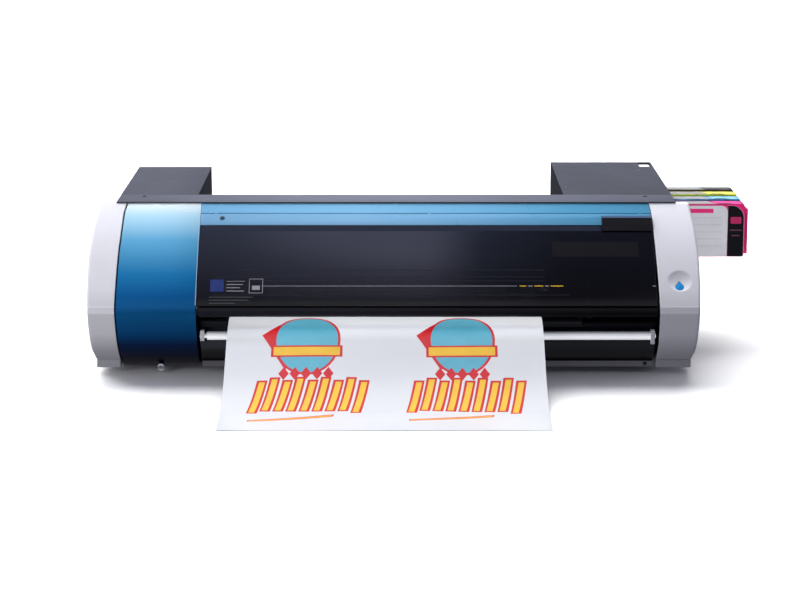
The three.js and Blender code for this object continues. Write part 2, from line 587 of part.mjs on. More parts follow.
piece('grit_roller', join(
  rod('x', GRIT.radius, -314, 300, [GRIT.y, GRIT_Z], 24),
  rod('x', 5, GEAR_X[0], 308, [GRIT.y, GRIT_Z], 16),
  prismX(gearOutline(FEED_TEETH, [GRIT.y, GRIT_Z], 0), ...GEAR_X)), 'steel');
piece('feed_pinion', join(
  prismX(gearOutline(PINION_TEETH, pinionCentre, Math.PI / PINION_TEETH), ...GEAR_X),
  rod('x', 2.5, GEAR_X[0] - 6, GEAR_X[1], pinionCentre, 12)), 'steel');
piece('feed_motor', turned('x', [[0, -400], [18, -400], [20, -398], [20, -353], [8, -352], [8, -350.6],
  [0, -350.6]], pinionCentre), 'dark');

const PINCH = { radius: 6, half: 8, pivotY: 44, pivotZ: 146 };
PINCH.z = PLATEN_TOP + 0.3 + MEDIA_THICKNESS + 0.3 + PINCH.radius;
const PINCH_X = { left: -235, right: 205 };
for (const [side, x] of Object.entries(PINCH_X)) {
  const cheek = (x0, x1) => prismX([
    [GRIT.y - 3, PINCH.z - 3], [GRIT.y + 4, PINCH.z - 4], [PINCH.pivotY + 3, PINCH.pivotZ - 6],
    [PINCH.pivotY + 5, PINCH.pivotZ + 4], [PINCH.pivotY - 6, PINCH.pivotZ + 4], [GRIT.y, PINCH.z + 4],
    [GRIT.y - 4, PINCH.z + 2],
  ], x0, x1);
  const outer = PINCH.half + 3.6;
  piece(`pinch_arm_${side}`, cut(
    join(
      cheek(x - outer, x - PINCH.half - 0.6), cheek(x + PINCH.half + 0.6, x + outer),
      prismX([[24, 132], [PINCH.pivotY + 3, PINCH.pivotZ - 6], [PINCH.pivotY + 5, PINCH.pivotZ + 4],
        [PINCH.pivotY - 6, PINCH.pivotZ + 4], [22, 138]], x - outer, x + outer)),
    rod('x', 1.9, x - 20, x + 20, [GRIT.y, PINCH.z], 12)), 'dark');
  piece(`pinch_roller_${side}`, turned('x', [
    [0, x - outer], [1.6, x - outer], [1.6, x - PINCH.half], [PINCH.radius, x - PINCH.half],
    [PINCH.radius, x + PINCH.half], [1.6, x + PINCH.half], [1.6, x + outer], [0, x + outer],
  ], [GRIT.y, PINCH.z], 20), 'rubber');
}

// The loading lever and its shaft, which lifts the pinch arms.
piece('loading_lever', join(
  rod('x', LEVER.radius, LEVER.x[0], 286, [LEVER.y, LEVER.z + 4], 16),
  rod('x', 9, LEVER.x[0], LEVER.x[1], [LEVER.y, LEVER.z + 4], 20),
  prismX([[LEVER.y + 2, LEVER.z - 2], [LEVER.y + 46, LEVER.z + 22], [LEVER.y + 62, LEVER.z + 24],
    [LEVER.y + 64, LEVER.z + 30], [LEVER.y + 60, LEVER.z + 36], [LEVER.y + 42, LEVER.z + 32],
    [LEVER.y - 2, LEVER.z + 12]], LEVER.x[0] + 1, LEVER.x[1] - 1)), 'blue');

// ---------------------------------------------------------------- media roll and vinyl

const rollZ = SHAFT.z + Math.sqrt((ROLL.flange + SHAFT.radius + GAP) ** 2 - SHAFT.spread ** 2);
const wound = [MEDIA_LEFT - 2 * GAP, MEDIA_RIGHT + 2 * GAP];
piece('media_roll', turned('x', [
  [0, wound[0] - 4], [ROLL.core, wound[0] - 4], [ROLL.core, wound[0]], [ROLL.radius, wound[0]],
  [ROLL.radius, wound[1]], [ROLL.core, wound[1]], [ROLL.core, wound[1] + 4], [0, wound[1] + 4],
], [ROLL.y, rollZ], 40), 'vinyl');
for (const [side, face, out] of [['left', wound[0] - GAP, -1], ['right', wound[1] + GAP, 1]]) {
  const ring = [[ROLL.core + GAP, face], [ROLL.flange, face], [ROLL.flange, face + out * 6],
    [ROLL.core + 8, face + out * 6], [ROLL.core + 8, face + out * 11], [0, face + out * 11],
    [0, face + out * 5], [ROLL.core + GAP, face + out * 5], [ROLL.core + GAP, face]];
  piece(`roll_flange_${side}`, turned('x', out > 0 ? ring : ring.reverse(), [ROLL.y, rollZ], 40), 'dark');
}
for (const [place, y] of [['front', SHAFT_Y[0]], ['rear', SHAFT_Y[1]]]) {
  const ends = [LOBE_LEFT + 1.2, LOBE_RIGHT - 1.2];
  piece(`roll_shaft_${place}`, turned('x', [
    [0, ends[0] - 5], [JOURNAL, ends[0] - 5], [JOURNAL, ends[0]], [SHAFT.radius, ends[0]],
    [SHAFT.radius, ends[1]], [JOURNAL, ends[1]], [JOURNAL, ends[1] + 5], [0, ends[1] + 5],
  ], [y, SHAFT.z]), 'aluminium');
}

// The vinyl leaves the top of the roll, crosses the platen, slopes down in front of
// the guide bar and lies on the table.
function vinylPath() {
  const lift = PLATEN_TOP + GAP + MEDIA_THICKNESS;
  const reach = ROLL.radius + 2 * GAP + MEDIA_THICKNESS;
  const guide = [GUIDE_BACK - 6, lift];
  const dy = ROLL.y - guide[0];
  const dz = rollZ - guide[1];
  const distance = Math.hypot(dy, dz);
  const angle = Math.atan2(dz, dy) + Math.asin(reach / distance);
  const run = Math.sqrt(distance ** 2 - reach ** 2);
  const leave = [guide[0] + run * Math.cos(angle), guide[1] + run * Math.sin(angle)];
  const points = [leave, guide];
  const low = TABLE + MEDIA_THICKNESS + GAP;
  const fall = new THREE.SplineCurve([
    [PLATEN_FRONT + 10, lift], [-135, lift - 1.1], [-152, 113.8], [-170, 107.8], [-195, 96.3], [-233, 72.5],
    [-270, 50.5], [-301, 36], [-331, 25.8], [-362, 19.6], [-392, low],
  ].map((p) => new THREE.Vector2(...p)));
  fall.getPoints(22).forEach((p) => points.push([p.x, Math.max(p.y, low)]));
  points.push([MEDIA_FRONT, low]);
  return points;
}
const path = vinylPath();
piece('vinyl_sheet', prismX([...path, ...inset(path, MEDIA_THICKNESS).reverse()], MEDIA_LEFT, MEDIA_RIGHT), 'vinyl');

// ---------------------------------------------------------------- ink

const inkRow = [0, 1, 2, 3].map((i) => CARTRIDGE.front + CARTRIDGE.pitch * i);
piece('ink_bay', cut(
  box([330, ROOF_RIGHT - SHEET_METAL - GAP], [BAY.y[0] + 1, BAY.y[1] - 1], [162, 281]),
  ...inkRow.map((y) => box([CARTRIDGE.inner - 4, 490], [y - 0.8, y + CARTRIDGE.thick + 0.8],
    [CARTRIDGE.bottom - 0.8, CARTRIDGE.top + 0.8])),
), 'dark');
['magenta', 'cyan', 'yellow', 'black'].forEach((ink, i) => {
  const y = [inkRow[i], inkRow[i] + CARTRIDGE.thick];
  piece(`ink_cartridge_${ink}`, join(
    box([CARTRIDGE.inner, CARTRIDGE.outer], y, [CARTRIDGE.bottom, CARTRIDGE.top]),
    box([CARTRIDGE.outer - 1, CARTRIDGE.outer + 6.3], [y[0] + 4, y[1] - 4], [CARTRIDGE.bottom + 5, CARTRIDGE.top - 9]),
  ), ink === 'black' ? 'keyBlack' : ink);
});

// ---------------------------------------------------------------- power

piece('power_supply', cut(
  box([-456, -352], [110, 250], [TRAY_TOP + GAP, 98]),
  box([-454.5, -353.5], [111.5, 248.5], [TRAY_TOP - 1, 96.5]),
), 'steel');
piece('cooling_fan_rotor', join(
  rod('y', 12, REAR_LEFT - 14, REAR_LEFT - 4, [FAN.x, FAN.z], 20),
  ...[0, 1, 2, 3, 4, 5, 6].map((i) => new THREE.BoxGeometry(22, 7, 1.6)
    .rotateX(0.6).translate(21, 0, 0).rotateY(i * 2 * Math.PI / 7).translate(FAN.x, REAR_LEFT - 9, FAN.z)),
), 'black');
piece('power_inlet', cut(
  box(INLET.x, [REAR_LEFT - 24, REAR_LEFT + 1], INLET.z),
  box([INLET.x[0] + 3, INLET.x[1] - 3], [REAR_LEFT - 16, REAR_LEFT + 5], [INLET.z[0] + 3, INLET.z[1] - 3]),
), 'black');

// ---------------------------------------------------------------- placing

const boxOfMachine = new THREE.Box3().setFromObject(machine);
machine.position.set(
  -(boxOfMachine.min.x + boxOfMachine.max.x) / 2,
  -(boxOfMachine.min.y + boxOfMachine.max.y) / 2,
  -boxOfMachine.min.z);
machine.updateMatrixWorld(true);

export default machine;
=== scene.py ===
import json
import math

import bmesh
import bpy
from mathutils import Matrix, Vector

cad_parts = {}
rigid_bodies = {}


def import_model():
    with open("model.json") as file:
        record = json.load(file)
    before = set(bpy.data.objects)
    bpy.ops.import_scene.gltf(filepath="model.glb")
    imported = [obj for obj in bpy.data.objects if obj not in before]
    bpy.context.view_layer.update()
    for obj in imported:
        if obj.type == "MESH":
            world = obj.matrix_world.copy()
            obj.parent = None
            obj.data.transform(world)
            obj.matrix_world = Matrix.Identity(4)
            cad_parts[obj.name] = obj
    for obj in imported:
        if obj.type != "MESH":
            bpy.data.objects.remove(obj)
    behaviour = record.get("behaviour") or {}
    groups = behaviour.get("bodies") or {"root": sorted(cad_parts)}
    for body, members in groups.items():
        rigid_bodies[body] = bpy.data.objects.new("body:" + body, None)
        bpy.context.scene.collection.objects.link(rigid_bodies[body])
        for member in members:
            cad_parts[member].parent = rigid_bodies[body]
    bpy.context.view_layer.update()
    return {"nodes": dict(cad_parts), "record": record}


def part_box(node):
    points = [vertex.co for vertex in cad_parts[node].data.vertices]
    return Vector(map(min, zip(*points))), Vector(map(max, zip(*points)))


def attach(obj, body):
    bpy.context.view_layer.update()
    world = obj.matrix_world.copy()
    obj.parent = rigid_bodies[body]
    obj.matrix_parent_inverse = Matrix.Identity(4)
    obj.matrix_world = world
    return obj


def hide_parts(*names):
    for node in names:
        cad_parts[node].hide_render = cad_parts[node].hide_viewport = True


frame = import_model()
NODES = frame["nodes"]
MM = 0.001

# ------------------------------------------------------------------ places
# The machine's own frame, in mm: X 0 is midway between the end caps, Y 0 is the
# roof's front edge, and Z is measured from 293 mm under the roof's top.
CAP_L, CAP_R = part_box("left_end_cap"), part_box("right_end_cap")
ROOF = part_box("roof_front_panel")
ORIGIN = Vector(((CAP_L[0].x + CAP_R[1].x) / 2, ROOF[0].y, ROOF[1].z - 293 * MM))


def at(x, y, z):
    """A point of the machine's frame in mm, as a point in metres."""
    return ORIGIN + Vector((x, y, z)) * MM


def local(p):
    """A point in metres, in the machine's frame in mm."""
    return (Vector(p) - ORIGIN) / MM


def span(node, axis):
    """A node's two ends along an axis, in the machine's frame in mm."""
    low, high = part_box(node)
    return local(low)[axis], local(high)[axis]


# ------------------------------------------------------------------ front profile
TOP, CREASE = (1, 290.6), (-155.7, 144.4)
LOWER, FOOT = (-157.8, 134), (-91, 33)
UPPER_RISE, LOWER_RISE = 7.4, 11.5


def arc(a, b, rise, t):
    """The point at fraction t of a shallow arc from a to b, and its outward direction."""
    chord = math.dist(a, b)
    along = ((b[0] - a[0]) / chord, (b[1] - a[1]) / chord)
    out = (along[1], -along[0])
    radius = (chord * chord / 4 + rise * rise) / (2 * rise)
    angle = math.asin(chord / 2 / radius) * (2 * t - 1)
    way = [out[k] * math.cos(angle) + along[k] * math.sin(angle) for k in (0, 1)]
    centre = [(a[k] + b[k]) / 2 - out[k] * (radius - rise) for k in (0, 1)]
    return (centre[0] + radius * way[0], centre[1] + radius * way[1]), way


def upper(t):
    return arc(TOP, CREASE, UPPER_RISE, t)


def lower(t):
    return arc(LOWER, FOOT, LOWER_RISE, t)


def offset(found, distance):
    """A profile point moved outwards by a distance."""
    (y, z), (ny, nz) = found
    return y + ny * distance, z + nz * distance


# ------------------------------------------------------------------ node helpers
class Shader:
    """A small builder for one material's nodes."""

    def __init__(self, name):
        self.material = bpy.data.materials.new(name)
        self.material.use_nodes = True
        self.nodes = self.material.node_tree.nodes
        self.links = self.material.node_tree.links
        self.bsdf = self.nodes["Principled BSDF"]
        self.coords = self.nodes.new("ShaderNodeTexCoord").outputs["Object"]

    def link(self, a, b):
        self.links.new(a, b)

    def mapped(self, scale=(1, 1, 1), rotation=(0, 0, 0)):
        node = self.nodes.new("ShaderNodeMapping")
        node.inputs["Scale"].default_value = scale
        node.inputs["Rotation"].default_value = rotation
        self.link(self.coords, node.inputs["Vector"])
        return node.outputs["Vector"]

    def noise(self, scale, detail=3, roughness=0.55, vector=None):
        node = self.nodes.new("ShaderNodeTexNoise")
        node.inputs["Scale"].default_value = scale
        node.inputs["Detail"].default_value = detail
        node.inputs["Roughness"].default_value = roughness
        self.link(vector or self.coords, node.inputs["Vector"])
        return node.outputs["Fac"]

    def cells(self, scale, output="Color", feature="F1"):
        node = self.nodes.new("ShaderNodeTexVoronoi")
        node.feature = feature
        node.inputs["Scale"].default_value = scale
        self.link(self.coords, node.inputs["Vector"])
        return node.outputs[output]

    def height(self, low, high):
        """0 at one height and 1 at another, in the machine's frame in mm."""
        split = self.nodes.new("ShaderNodeSeparateXYZ")
        self.link(self.coords, split.inputs[0])
        node = self.nodes.new("ShaderNodeMapRange")
        node.inputs["From Min"].default_value = at(0, 0, low).z
        node.inputs["From Max"].default_value = at(0, 0, high).z
        self.link(split.outputs["Z"], node.inputs["Value"])
        return node.outputs["Result"]

    def across(self, left, right):
        split = self.nodes.new("ShaderNodeSeparateXYZ")
        self.link(self.coords, split.inputs[0])
        node = self.nodes.new("ShaderNodeMapRange")
        node.inputs["From Min"].default_value = at(left, 0, 0).x
        node.inputs["From Max"].default_value = at(right, 0, 0).x
        self.link(split.outputs["X"], node.inputs["Value"])
        return node.outputs["Result"]

    def painted_inner_shade(self, shade):
        """Painted shade: 1 on most faces and a darker factor on upright faces that look to the middle of the machine.
        """
        ways = self.nodes.new("ShaderNodeSeparateXYZ")
        self.link(self.nodes.new("ShaderNodeNewGeometry").outputs["Normal"], ways.inputs[0])
        places = self.nodes.new("ShaderNodeSeparateXYZ")
        self.link(self.coords, places.inputs[0])
        product = self.nodes.new("ShaderNodeMath")
        product.operation = "MULTIPLY"
        self.link(ways.outputs["X"], product.inputs[0])
        self.link(places.outputs["X"], product.inputs[1])
        node = self.nodes.new("ShaderNodeMapRange")
        node.inputs["From Min"].default_value = -0.2
        node.inputs["From Max"].default_value = -0.02
        node.inputs["To Min"].default_value = shade
        self.link(product.outputs[0], node.inputs["Value"])
        return node.outputs["Result"]

    def ramp(self, factor, stops):
        node = self.nodes.new("ShaderNodeValToRGB")
        elements = node.color_ramp.elements
        while len(elements) < len(stops):
            elements.new(0.5)
        for element, (place, colour) in zip(elements, stops):
            element.position = place
            element.color = (*colour, 1)
        self.link(factor, node.inputs["Fac"])
        return node.outputs["Color"]

    def spread(self, factor, low, high):
        node = self.nodes.new("ShaderNodeMapRange")
        node.inputs["To Min"].default_value = low
        node.inputs["To Max"].default_value = high
        self.link(factor, node.inputs["Value"])
        return node.outputs["Result"]

    def mix(self, factor, a, b, mode="MIX"):
        node = self.nodes.new("ShaderNodeMix")
        node.data_type = "RGBA"
        node.blend_type = mode
        for value, socket in ((factor, node.inputs[0]), (a, node.inputs[6]), (b, node.inputs[7])):
            if isinstance(value, bpy.types.NodeSocket):
                self.link(value, socket)
            elif isinstance(value, (int, float)):
                socket.default_value = value
            else:
                socket.default_value = (*value, 1)
        return node.outputs[2]

    def bump(self, height, distance, strength=0.5, below=None):
        node = self.nodes.new("ShaderNodeBump")
        node.inputs["Strength"].default_value = strength
        node.inputs["Distance"].default_value = distance
        self.link(height, node.inputs["Height"])
        if below is not None:
            self.link(below, node.inputs["Normal"])
        return node.outputs["Normal"]

    def set(self, **values):
        names = {
            "color": "Base Color", "rough": "Roughness", "metal": "Metallic", "normal": "Normal",
            "coat": "Coat Weight", "coat_rough": "Coat Roughness", "ior": "IOR", "alpha": "Alpha",
            "specular": "Specular IOR Level", "emit": "Emission Color", "glow": "Emission Strength",
            "anisotropic": "Anisotropic", "transmission": "Transmission Weight",
            "subsurface": "Subsurface Weight", "coat_normal": "Coat Normal",
        }
        for key, value in values.items():
            socket = self.bsdf.inputs[names[key]]
            if isinstance(value, bpy.types.NodeSocket):
                self.link(value, socket)
            elif isinstance(value, tuple):
                socket.default_value = (*value, 1)
            else:
                socket.default_value = value
        return self.material


def moulded(name, colour, rough=0.45, grain=2600, depth=0.00003, tint=0.04, coat=0.0):
    """Moulded plastic: a fine spark-eroded grain, slight mottling and faint handling marks."""
    s = Shader(name)
    mottle = s.noise(14, 4)
    fine = s.noise(grain, 2)
    dark = tuple(c * (1 - tint) for c in colour)
    light = tuple(min(1, c * (1 + tint)) for c in colour)
    s.set(color=s.ramp(mottle, [(0.35, dark), (0.65, light)]),
          rough=s.spread(s.noise(60, 5), rough - 0.05, rough + 0.07),
          normal=s.bump(fine, depth, 0.6), coat=coat)
    return s.material


def cap_plastic():
    """The caps' moulded plastic, with painted shade towards the foot and just above the fold, a painted highlight on
    the fold's chamfer and painted light towards the top.
    """
    s = Shader("cap_plastic")
    # The height ramp is painted light and shade: dark near the foot, white on the fold's chamfer, dark just above the
    # fold and lighter towards the top.
    tone = s.ramp(s.height(24, 293), [
        (0.03, (0.56,) * 3), (0.14, (0.66,) * 3), (0.27, (0.97,) * 3), (0.4, (0.9,) * 3), (0.41, (1, 1, 1)),
        (0.447, (1, 1, 1)), (0.453, (0.68,) * 3),
        (0.485, (0.71,) * 3), (0.54, (0.78,) * 3), (0.69, (0.785,) * 3), (0.82, (0.83,) * 3), (1.0, (0.893,) * 3)])
    mottle = s.ramp(s.noise(14, 4), [(0.35, (0.865, 0.865, 0.92)), (0.65, (0.882, 0.882, 0.94))])
    s.set(color=s.mix(1.0, mottle, tone, "MULTIPLY"), rough=s.spread(s.noise(60, 5), 0.37, 0.49),
          normal=s.bump(s.noise(2600, 2), 0.00003, 0.6))
    return s.material


def powder(name, colour, rough=0.55, painted_light_across=None, shade=1.0):
    """Powder-coated sheet steel: an orange-peel bump with finer grit in it."""
    s = Shader(name)
    peel = s.bump(s.noise(420, 2), 0.00008, 0.45)
    grit = s.bump(s.noise(2400, 2), 0.00003, 0.6, peel)
    dark = tuple(c * 0.92 for c in colour)
    light = tuple(c * 1.08 for c in colour)
    tone = s.mix(0.35, s.ramp(s.noise(9, 4), [(0.3, dark), (0.7, light)]),
                 s.ramp(s.noise(1800, 1), [(0.3, dark), (0.7, light)]))
    # The ramp across X is painted light: the colour is made brighter or darker from left to right as the light falls.
    if painted_light_across:
        most = max(gain for _, gain in painted_light_across)
        painted_light_fade = s.ramp(s.across(-470, 478), [(place, (gain / most,) * 3) for place, gain in painted_light_across])
        bright = s.mix(1.0, tone, (most, most, most), "MULTIPLY")
        tone = s.mix(1.0, bright, painted_light_fade, "MULTIPLY")
    # Painted shade on the upright faces that look to the middle of the machine.
    if shade < 1:
        tone = s.mix(1.0, tone, s.painted_inner_shade(shade), "MULTIPLY")
    s.set(color=tone, rough=s.spread(s.noise(35, 4), rough - 0.06, rough + 0.08),
          normal=grit, specular=0.4)
    return s.material


def metal(name, colour, rough, direction=(1, 60, 60), brushed=0.00002, metallic=1.0):
    """Bare metal with brushing along one axis."""
    s = Shader(name)
    lines = s.noise(40, 3, 0.6, s.mapped(direction))
    s.set(color=s.ramp(lines, [(0.3, tuple(c * 0.93 for c in colour)), (0.7, colour)]),
          metal=metallic, rough=s.spread(s.noise(25, 3), rough * 0.8, rough * 1.25),
          normal=s.bump(lines, brushed, 0.5))
    return s.material


def gloss(name, colour, rough=0.12, coat=0.6, tint=0.05, painted_light_fade=None):
    """Glossy moulded plastic with a trace of dust and handling in its roughness."""
    s = Shader(name)
    dark = tuple(c * (1 - tint) for c in colour)
    light = tuple(min(1, c * (1 + tint)) for c in colour)
    tone = s.ramp(s.noise(20, 3), [(0.35, dark), (0.65, light)])
    # The ramp across X is painted reflection and shade: it darkens the colour towards the right.
    if painted_light_fade:
        tone = s.mix(1.0, tone, s.ramp(s.across(-100, 350), [(i, (f,) * 3) for i, f in enumerate(painted_light_fade)]), "MULTIPLY")
        s.set(specular=0.25)
    s.set(color=tone, rough=s.spread(s.noise(90, 5), rough, rough + 0.08),
          normal=s.bump(s.noise(160, 2), 0.00002, 0.3), coat=coat, coat_rough=0.06)
    return s.material


def fascia():
    """The black panel under the outlet, with painted light below the guide bar and just above it, and painted shade
    under the lip, near the foot and towards the right.
    """
    s = Shader("fascia_finish")
    # The height ramp is painted light and shade; the ramp across X is painted shade towards the right.
    tone = s.ramp(s.height(36, 118), [
        (0.1, (0.0012,) * 3), (0.28, (0.006, 0.006, 0.007)), (0.42, (0.042, 0.046, 0.056)), (0.52, (0.05, 0.055, 0.066)),
        (0.62, (0.014, 0.015, 0.021)), (0.82, (0.016, 0.018, 0.036)), (0.94, (0.001, 0.001, 0.003))])
    tone = s.mix(1.0, tone, s.ramp(s.across(-100, 350), [(0.0, (1, 1, 1)), (1.0, (0.5,) * 3)]), "MULTIPLY")
    s.set(color=tone, rough=s.spread(s.noise(90, 5), 0.3, 0.38), specular=0.22,
          normal=s.bump(s.noise(160, 2), 0.00002, 0.3))
    return s.material


def blue_cover():
    """Metallic blue lacquer whose colour carries a painted reflection, near white under the roof, and painted shade
    deepening to navy at the foot.
    """
    s = Shader("blue_cover_lacquer")
    # The height ramp is painted reflection at the top and painted shade towards the foot.
    tone = s.ramp(s.height(28, 292), [
        (0.0, (0.0001, 0.0002, 0.006)), (0.07, (0.0002, 0.0005, 0.014)), (0.18, (0.0004, 0.02, 0.09)),
        (0.26, (0.001, 0.085, 0.27)), (0.38, (0.005, 0.135, 0.37)), (0.5, (0.003, 0.118, 0.35)),
        (0.62, (0.013, 0.215, 0.49)), (0.8, (0.125, 0.445, 0.7)), (0.93, (0.49, 0.78, 0.92)), (1.0, (0.93, 0.98, 1.0))])
    depth = s.ramp(s.noise(5, 0), [(0.2, (0.97, 0.975, 0.98)), (0.8, (1, 1, 1))])
    s.set(color=s.mix(1.0, tone, depth, "MULTIPLY"), metal=0.35,
          rough=s.spread(s.noise(6, 0), 0.26, 0.3),
          normal=s.bump(s.noise(25, 0), 0.00002, 0.1), coat=s.spread(s.height(60, 180), 0.0, 0.2),
          coat_rough=0.1, specular=0.12)
    return s.material


def blue_rail(name, tint):
    """The same lacquer on the long rails, with painted light in the middle and painted shade at the right."""
    s = Shader(name)
    # The ramp across X is painted light and shade, not a change in the lacquer.
    tone = s.ramp(s.across(-326, 437), [
        (0.0, (0.18, 0.45, 0.7)), (0.35, (0.22, 0.53, 0.78)), (0.62, (0.18, 0.5, 0.77)),
        (0.84, (0.115, 0.44, 0.7)), (1.0, (0.1, 0.38, 0.62))])
    depth = s.ramp(s.noise(5, 0), [(0.2, (0.97, 0.975, 0.98)), (0.8, (1, 1, 1))])
    depth = s.mix(1.0, depth, tint, "MULTIPLY")
    s.set(color=s.mix(1.0, tone, depth, "MULTIPLY"), metal=0.3,
          rough=s.spread(s.noise(6, 0), 0.26, 0.3),
          normal=s.bump(s.noise(25, 0), 0.00002, 0.1), coat=0.15, coat_rough=0.1, specular=0.3)
    return s.material


def smoked():
    """Smoked acrylic: dark, clear and glossy, with fine dust in the surface."""
    s = Shader("smoked_acrylic")
    # The colour ramps are painted reflection and shade: lighter towards the top and darker towards the right.
    tone = s.ramp(s.height(150, 250), [(0.0, (0.002, 0.002, 0.005)), (1.0, (0.007, 0.01, 0.022))])
    tone = s.mix(1.0, tone, s.ramp(s.across(-326, 434), [(0.62, (1, 1, 1)), (0.8, (0.3, 0.3, 0.4))]), "MULTIPLY")
    s.set(color=tone, rough=s.spread(s.noise(120, 4), 0.07, 0.12), alpha=0.94,
          normal=s.bump(s.noise(30, 2), 0.00001, 0.2), coat_rough=0.04,
          coat=s.ramp(s.across(-326, 434), [
              (0.1, (0.36,) * 3), (0.45, (0.85,) * 3), (0.6, (0.55,) * 3), (0.84, (0.12,) * 3)]),
          specular=0.42)
    return s.material


def film():
    """White vinyl film: a soft sheen and very slight waviness."""
    s = Shader("vinyl_film")
    waves = s.ramp(s.noise(6, 3), [(0.3, (0.9, 0.92, 0.968)), (0.7, (0.952, 0.965, 1.0))])
    # The height ramps are painted light and shade where the sheet bends over the platen and bar: painted shade on the
    # left and a painted highlight on the right.
    z = s.height(90, 119)
    left = s.ramp(z, [(0.0, (0.735,) * 3), (0.28, (0.64,) * 3), (0.6, (0.74,) * 3), (1.0, (0.78,) * 3)])
    right = s.ramp(z, [(0.0, (0.735,) * 3), (0.28, (0.7,) * 3), (0.45, (0.78,) * 3), (0.7, (1, 1, 1)), (0.95, (0.88,) * 3)])
    tone = s.mix(s.across(-250, -60), left, right)
    s.set(color=s.mix(1.0, waves, tone, "MULTIPLY"),
          rough=s.spread(s.noise(40, 3), 0.28, 0.36), coat=0.3, coat_rough=0.15,
          normal=s.bump(s.noise(9, 2), 0.0004, 0.15))
    return s.material


def lit_button():
    s = Shader("lit_button")
    s.set(color=s.ramp(s.noise(300, 2), [(0.3, (0.005, 0.2, 0.52)), (0.7, (0.01, 0.25, 0.6))]),
          rough=s.spread(s.noise(200, 2), 0.2, 0.3), emit=(0.02, 0.35, 0.85), glow=0.12,
          normal=s.bump(s.noise(900, 2), 0.00002, 0.4), coat=0.5)
    return s.material


def printed(name, colour, rough=0.32, coat=0.25, specular=0.5):
    """Print on film: the dots show only as a faint mottling, under the film's own sheen."""
    s = Shader(name)
    dark = tuple(c * 0.93 for c in colour)
    light = tuple(min(1, c * 1.06) for c in colour)
    s.set(color=s.mix(0.3, s.ramp(s.noise(30, 4), [(0.35, dark), (0.65, light)]),
                      s.ramp(s.noise(1500, 1), [(0.35, dark), (0.65, light)])),
          rough=s.spread(s.noise(70, 3), rough, rough + 0.07), coat=coat, coat_rough=0.15, specular=specular,
          normal=s.bump(s.noise(900, 1), 0.00001, 0.3))
    return s.material


MAT = {
    "cap_plastic": cap_plastic(),
    # The housing's ramp across X is painted shade towards the right.
    "housing_paint": powder("housing_paint", (0.055, 0.058, 0.077), painted_light_across=[(0.0, 1.0), (0.4, 1.0), (1.0, 0.8)], shade=0.3),
    "black_gloss": gloss("black_gloss", (0.0035, 0.0035, 0.006), 0.16, 0.2),
    "dark_plastic": moulded("dark_plastic", (0.022, 0.022, 0.027), 0.5, depth=0.00005),
    # The rail's ramp across X is painted light, lighter towards the right.
    "rail_paint": powder("rail_paint", (0.11, 0.11, 0.116), 0.45, painted_light_across=[(0.25, 1.25), (0.9, 2.3)]),
    "steel": metal("steel", (0.62, 0.63, 0.66), 0.32),
    "bright_metal": metal("bright_metal", (0.86, 0.86, 0.89), 0.16, (1, 40, 40), 0.00001),
    "aluminium": metal("aluminium", (0.6, 0.61, 0.64), 0.38),
    "rubber": moulded("rubber", (0.018, 0.018, 0.019), 0.8, 1500, 0.00008),
    "vinyl": film(),
    "window": smoked(),
    "button_light": lit_button(),
    "ink_magenta": gloss("ink_magenta", (0.56, 0.005, 0.13), 0.25, 0.3),
    "ink_cyan": gloss("ink_cyan", (0.05, 0.4, 0.75), 0.25, 0.3),
    "ink_yellow": gloss("ink_yellow", (0.85, 0.72, 0.02), 0.25, 0.3),
    "ink_black": gloss("ink_black", (0.012, 0.012, 0.015), 0.25, 0.3),
}
BLUE_COVER, BLUE_RAIL = blue_cover(), blue_rail("blue_rail_lacquer", (1, 1, 1))

# The vinyl's printing inks and the cartridge labels.
INKS = {
    "print_red": printed("print_red", (0.62, 0.006, 0.012)),
    "print_sky": printed("print_sky", (0.1, 0.42, 0.56)),
    "print_yellow": printed("print_yellow", (0.84, 0.5, 0.015)),
    "print_deep": printed("print_deep", (0.07, 0.03, 0.16)),
    "label_paper": printed("label_paper", (0.46, 0.46, 0.5), 0.4),
    "label_top": printed("label_top", (0.36, 0.36, 0.35), 0.4),
    "label_black": printed("label_black", (0.012, 0.012, 0.016), 0.25),
    "label_line": printed("label_line", (0.4, 0.15, 0.24), 0.35),
    "label_band": printed("label_band", (0.4, 0.4, 0.43), 0.45),
    # The light_ inks are lighter copies of the cartridge colours, used as painted highlights on the cartridges' tops.
    "light_magenta": printed("light_magenta", (0.78, 0.06, 0.3)),
    "light_cyan": printed("light_cyan", (0.22, 0.52, 0.68)),
    "light_yellow": printed("light_yellow", (0.86, 0.8, 0.12)),
    "light_black": printed("light_black", (0.09, 0.09, 0.1)),
    "deep_magenta": printed("deep_magenta", (0.3, 0.003, 0.065)),
    "deep_cyan": printed("deep_cyan", (0.01, 0.12, 0.3)),
    "deep_yellow": printed("deep_yellow", (0.4, 0.32, 0.01)),
    "deep_black": printed("deep_black", (0.12, 0.12, 0.13)),
}
SLOT_OF = {p["node"]: p["material_slot"] for p in frame["record"]["subparts"]}

# ------------------------------------------------------------------ CAD nodes
# Rounded edges in mm for the nodes that show; the others keep their sharp edges.
ROUNDING = {
    "roof_front_panel": 0.7, "rear_left_cover": 0.7, "rear_right_cover": 0.7, "left_front_cover": 0.8,
    "top_front_rail": 0.5, "cover_top_rail": 0.5, "cover_window": 0.6, "cover_grip": 0.9,
    "outlet_lip": 0.5, "lower_front_panel": 0.5, "bottom_front_rail": 0.6, "rear_centre_panel": 0.4,
    "print_carriage": 2.0, "rail_beam": 0.5, "power_button": 0.4, "loading_lever": 1.0,
    "rear_media_guide": 0.8, "front_platen": 0.5, "rear_platen": 0.5, "power_inlet": 0.6,
}


